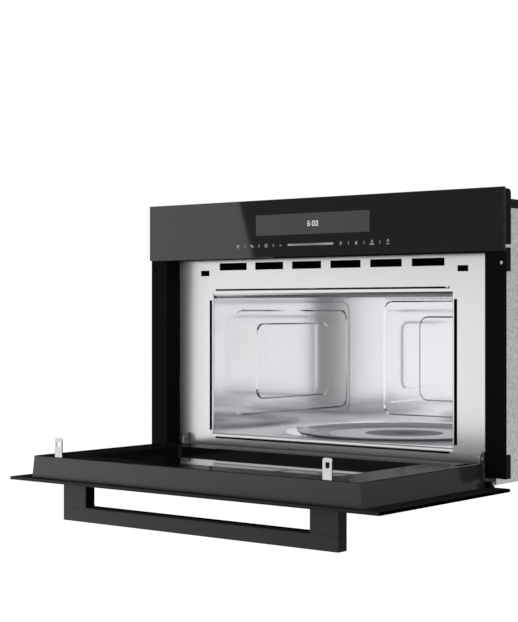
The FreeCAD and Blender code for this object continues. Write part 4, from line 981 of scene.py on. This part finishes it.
class MICROWAVE_OT_touch_symbols(bpy.types.Operator):
    """Print the row of touch symbols and the slider on the control glass"""

    bl_idname = "microwave.touch_symbols"
    bl_label = "Touch symbols"

    def execute(self, context):
        marks = context.scene.microwave_marks
        level = PANEL_HIGH[2] - marks.row_drop
        pieces = []
        for side, row in ((-1, LEFT_MARKS), (1, RIGHT_MARKS)):
            for step, draw in enumerate(row):
                offset = marks.row_shift + side * (marks.first_symbol + step * marks.symbol_pitch)
                pen = Pen((offset, level), marks.symbol_size)
                draw(pen)
                pieces += pen.strokes
                if step:
                    divider = Pen((offset - side * marks.symbol_pitch / 2, level), marks.symbol_size)
                    divider.bar(0.17, 0.9, corner=0.03)
                    pieces += divider.strokes
        ink = make_material("printed_white_enamel", printed_white)
        symbols = join_as("touch_symbols", pieces, ink, HOUSING)
        slider = bar(marks.slider_length, marks.slider_height, (marks.row_shift, level),
                     corner=marks.slider_height * 0.2)
        grey = make_material("grey_slider_print", slider_print)
        slider = join_as("touch_slider", [slider], grey, HOUSING)
        return {"FINISHED"}


def seen_directly(tree):
    """Mask that is 1 for rays from the camera, from reflections and through glass."""
    ray = add_node(tree, "ShaderNodeLightPath").outputs
    seen = add_node(tree, MATH, {0: ray["Is Camera Ray"], 1: ray["Is Glossy Ray"]}, operation="MAXIMUM")
    return add_node(tree, MATH, {0: seen, 1: ray["Is Transmission Ray"]}, operation="MAXIMUM")


def floor_paint(tree):
    """Matt white studio floor: takes shadows, and shows white to the camera where nothing shades it."""
    tone = mottled(tree, 500.0, 2.0, 0.9, 0.94)
    diffuse = add_node(tree, "ShaderNodeBsdfDiffuse", {"Color": tone})
    lift = add_node(tree, MATH, {0: seen_directly(tree), 1: 0.75}, operation="MULTIPLY")
    glow = add_node(tree, "ShaderNodeEmission", {"Color": srgb("#ffffff"), "Strength": lift})
    return add_node(tree, "ShaderNodeAddShader", {0: diffuse, 1: glow})


def flag_cloth(share):
    """Builder of a studio cloth that throws back a share of the light, in a millimetre weave."""
    def build(tree):
        tone = mottled(tree, 1.0, 1.0, share - 0.05, share + 0.05)
        return add_node(tree, "ShaderNodeBsdfDiffuse", {"Color": tone})
    return build


def add_lamp(name, place, aim, size, power, turn=0.0):
    """Rectangular softbox at a place, aimed at a point."""
    begin()
    bpy.ops.object.light_add(type="AREA", location=place)
    lamp = bpy.context.object
    lamp.name = name
    lamp.data.shape = "RECTANGLE"
    lamp.data.size, lamp.data.size_y = size
    lamp.data.energy = power
    lamp.visible_camera = False
    heading = (Vector(aim) - Vector(place)).to_track_quat("-Z", "Y")
    lamp.rotation_euler = (heading.to_matrix() @ Matrix.Rotation(turn, 3, "Z")).to_euler()
    return lamp


def add_flag(name, place, size, share, lean=0.0):
    """Upright grey board with leaning ends, which the oven mirrors and the camera doesn't see."""
    begin()
    bpy.ops.mesh.primitive_plane_add(size=1, location=place, rotation=(math.pi / 2, 0.0, 0.0))
    flag = bpy.context.object
    flag.name = name
    flag.scale = (*size, 1.0)
    settle()
    for vertex in flag.data.vertices:
        vertex.co.x += (place[2] - vertex.co.z) * math.tan(lean)
    flag.data.materials.append(make_material(name + "_cloth", flag_cloth(share)))
    flag.visible_camera = False
    return flag


class MICROWAVE_OT_stage(bpy.types.Operator):
    """Set up the white studio: floor, room light, softboxes, flags and camera"""

    bl_idname = "microwave.stage"
    bl_label = "Stage"

    def execute(self, context):
        studio = context.scene.microwave_studio
        begin()
        bpy.ops.mesh.primitive_plane_add(size=60.0, location=(0.0, 0.0, studio.floor_level))
        floor = bpy.context.object
        floor.name = "studio_floor"
        floor.data.materials.append(make_material("studio_floor_paint", floor_paint))
        self.light_room(context.scene, studio)
        self.light_oven()
        add_flag("panel_flag", (-0.984, -1.616, 0.462), size=(0.87, 0.235), share=0.88,
                 lean=math.radians(17.4))
        add_flag("camera_flag", (1.62, -1.69, 0.2), size=(0.6, 1.0), share=0.5)
        back = add_flag("back_flag", (-3.3, 3.0, 0.5), size=(1.8, 1.3), share=0.06)
        back.visible_diffuse = back.visible_shadow = False
        self.add_camera(context.scene, studio)
        context.scene.view_settings.view_transform = "Standard"
        return {"FINISHED"}

    def light_room(self, scene, studio):
        """Even white surroundings, seen as white by the camera and in reflections."""
        world = bpy.data.worlds.new("white_studio")
        scene.world = world
        world.use_nodes = True
        tree = world.node_tree
        tree.nodes.clear()
        level = add_node(tree, RANGE, {
            "Value": seen_directly(tree), "To Min": studio.room_light, "To Max": 1.0})
        back = add_node(tree, "ShaderNodeBackground", {"Color": srgb("#ffffff"), "Strength": level})
        add_node(tree, "ShaderNodeOutputWorld", {"Surface": back})

    def light_oven(self):
        """Softboxes; only the panel's is mirrored, and it lights just the panel and the steel front."""
        panel = add_lamp("panel_softbox", (-1.7075, -1.6602, 0.179), aim=(-0.2545, 0.0088, 0.064),
                         size=(0.5, 0.95), power=0.74, turn=math.radians(12.2))
        front = add_lamp("front_softbox", (0.1, -2.8, 0.45), aim=(0.0, -0.2, 0.1), size=(2.0, 0.9),
                         power=11.0)
        corner = add_lamp("corner_softbox", (-0.55, -0.78, -0.1), aim=(-0.1, -0.28, 0.0), size=(0.3, 0.25),
                          power=3.0)
        low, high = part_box("cavity_ceiling")
        middle = ((low[0] + high[0]) / 2, (low[1] + high[1]) / 2)
        oven = add_lamp("oven_light", (*middle, low[2] - 2 * MM), aim=(*middle, 0.0), size=(0.3, 0.28),
                        power=0.8)
        for lamp in (front, corner, oven):
            lamp.visible_glossy = False
        lit = bpy.data.collections.new("lit_by_panel_softbox")
        for node in ("control_panel_glass", "front_frame"):
            lit.objects.link(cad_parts[node])
        panel.light_linking.receiver_collection = lit

    def add_camera(self, scene, studio):
        """Camera of the photograph, level with the middle of the oven."""
        begin()
        bpy.ops.object.camera_add(location=studio.camera_place)
        camera = bpy.context.object
        camera.data.lens = studio.camera_lens
        camera.data.sensor_width = 36.0
        camera.rotation_euler = (math.pi / 2 + studio.camera_pitch, 0.0, studio.camera_yaw)
        scene.camera = camera


class MICROWAVE_PT_looks(bpy.types.Panel):
    """Sidebar list of the steps"""

    bl_idname = "MICROWAVE_PT_looks"
    bl_label = "Built-in Microwave"
    bl_space_type = "VIEW_3D"
    bl_region_type = "UI"
    bl_category = "Microwave"

    def draw(self, context):
        for operator in OPERATORS:
            self.layout.operator(operator.bl_idname)


OPERATORS = (MICROWAVE_OT_body_finishes, MICROWAVE_OT_turntable, MICROWAVE_OT_cavity_floor,
             MICROWAVE_OT_door_enamel, MICROWAVE_OT_display, MICROWAVE_OT_touch_symbols, MICROWAVE_OT_stage)
SETTINGS = {"microwave_marks": PanelMarks, "microwave_turntable": Turntable,
            "microwave_finishes": Finishes, "microwave_studio": Studio}
CLASSES = (*SETTINGS.values(), *OPERATORS, MICROWAVE_PT_looks)


def register():
    """Registers the classes and their settings."""
    for kind in CLASSES:
        bpy.utils.register_class(kind)
    for name, kind in SETTINGS.items():
        setattr(bpy.types.Scene, name, bpy.props.PointerProperty(type=kind))


def unregister():
    """Removes the settings and the classes."""
    for name in SETTINGS:
        delattr(bpy.types.Scene, name)
    for kind in reversed(CLASSES):
        bpy.utils.unregister_class(kind)


def main():
    """Builds the looks in order."""
    register()
    bpy.ops.microwave.body_finishes()
    bpy.ops.microwave.turntable()
    bpy.ops.microwave.cavity_floor()
    bpy.ops.microwave.door_enamel()
    bpy.ops.microwave.display()
    bpy.ops.microwave.touch_symbols()
    bpy.ops.microwave.stage()


if __name__ == "__main__":
    main()
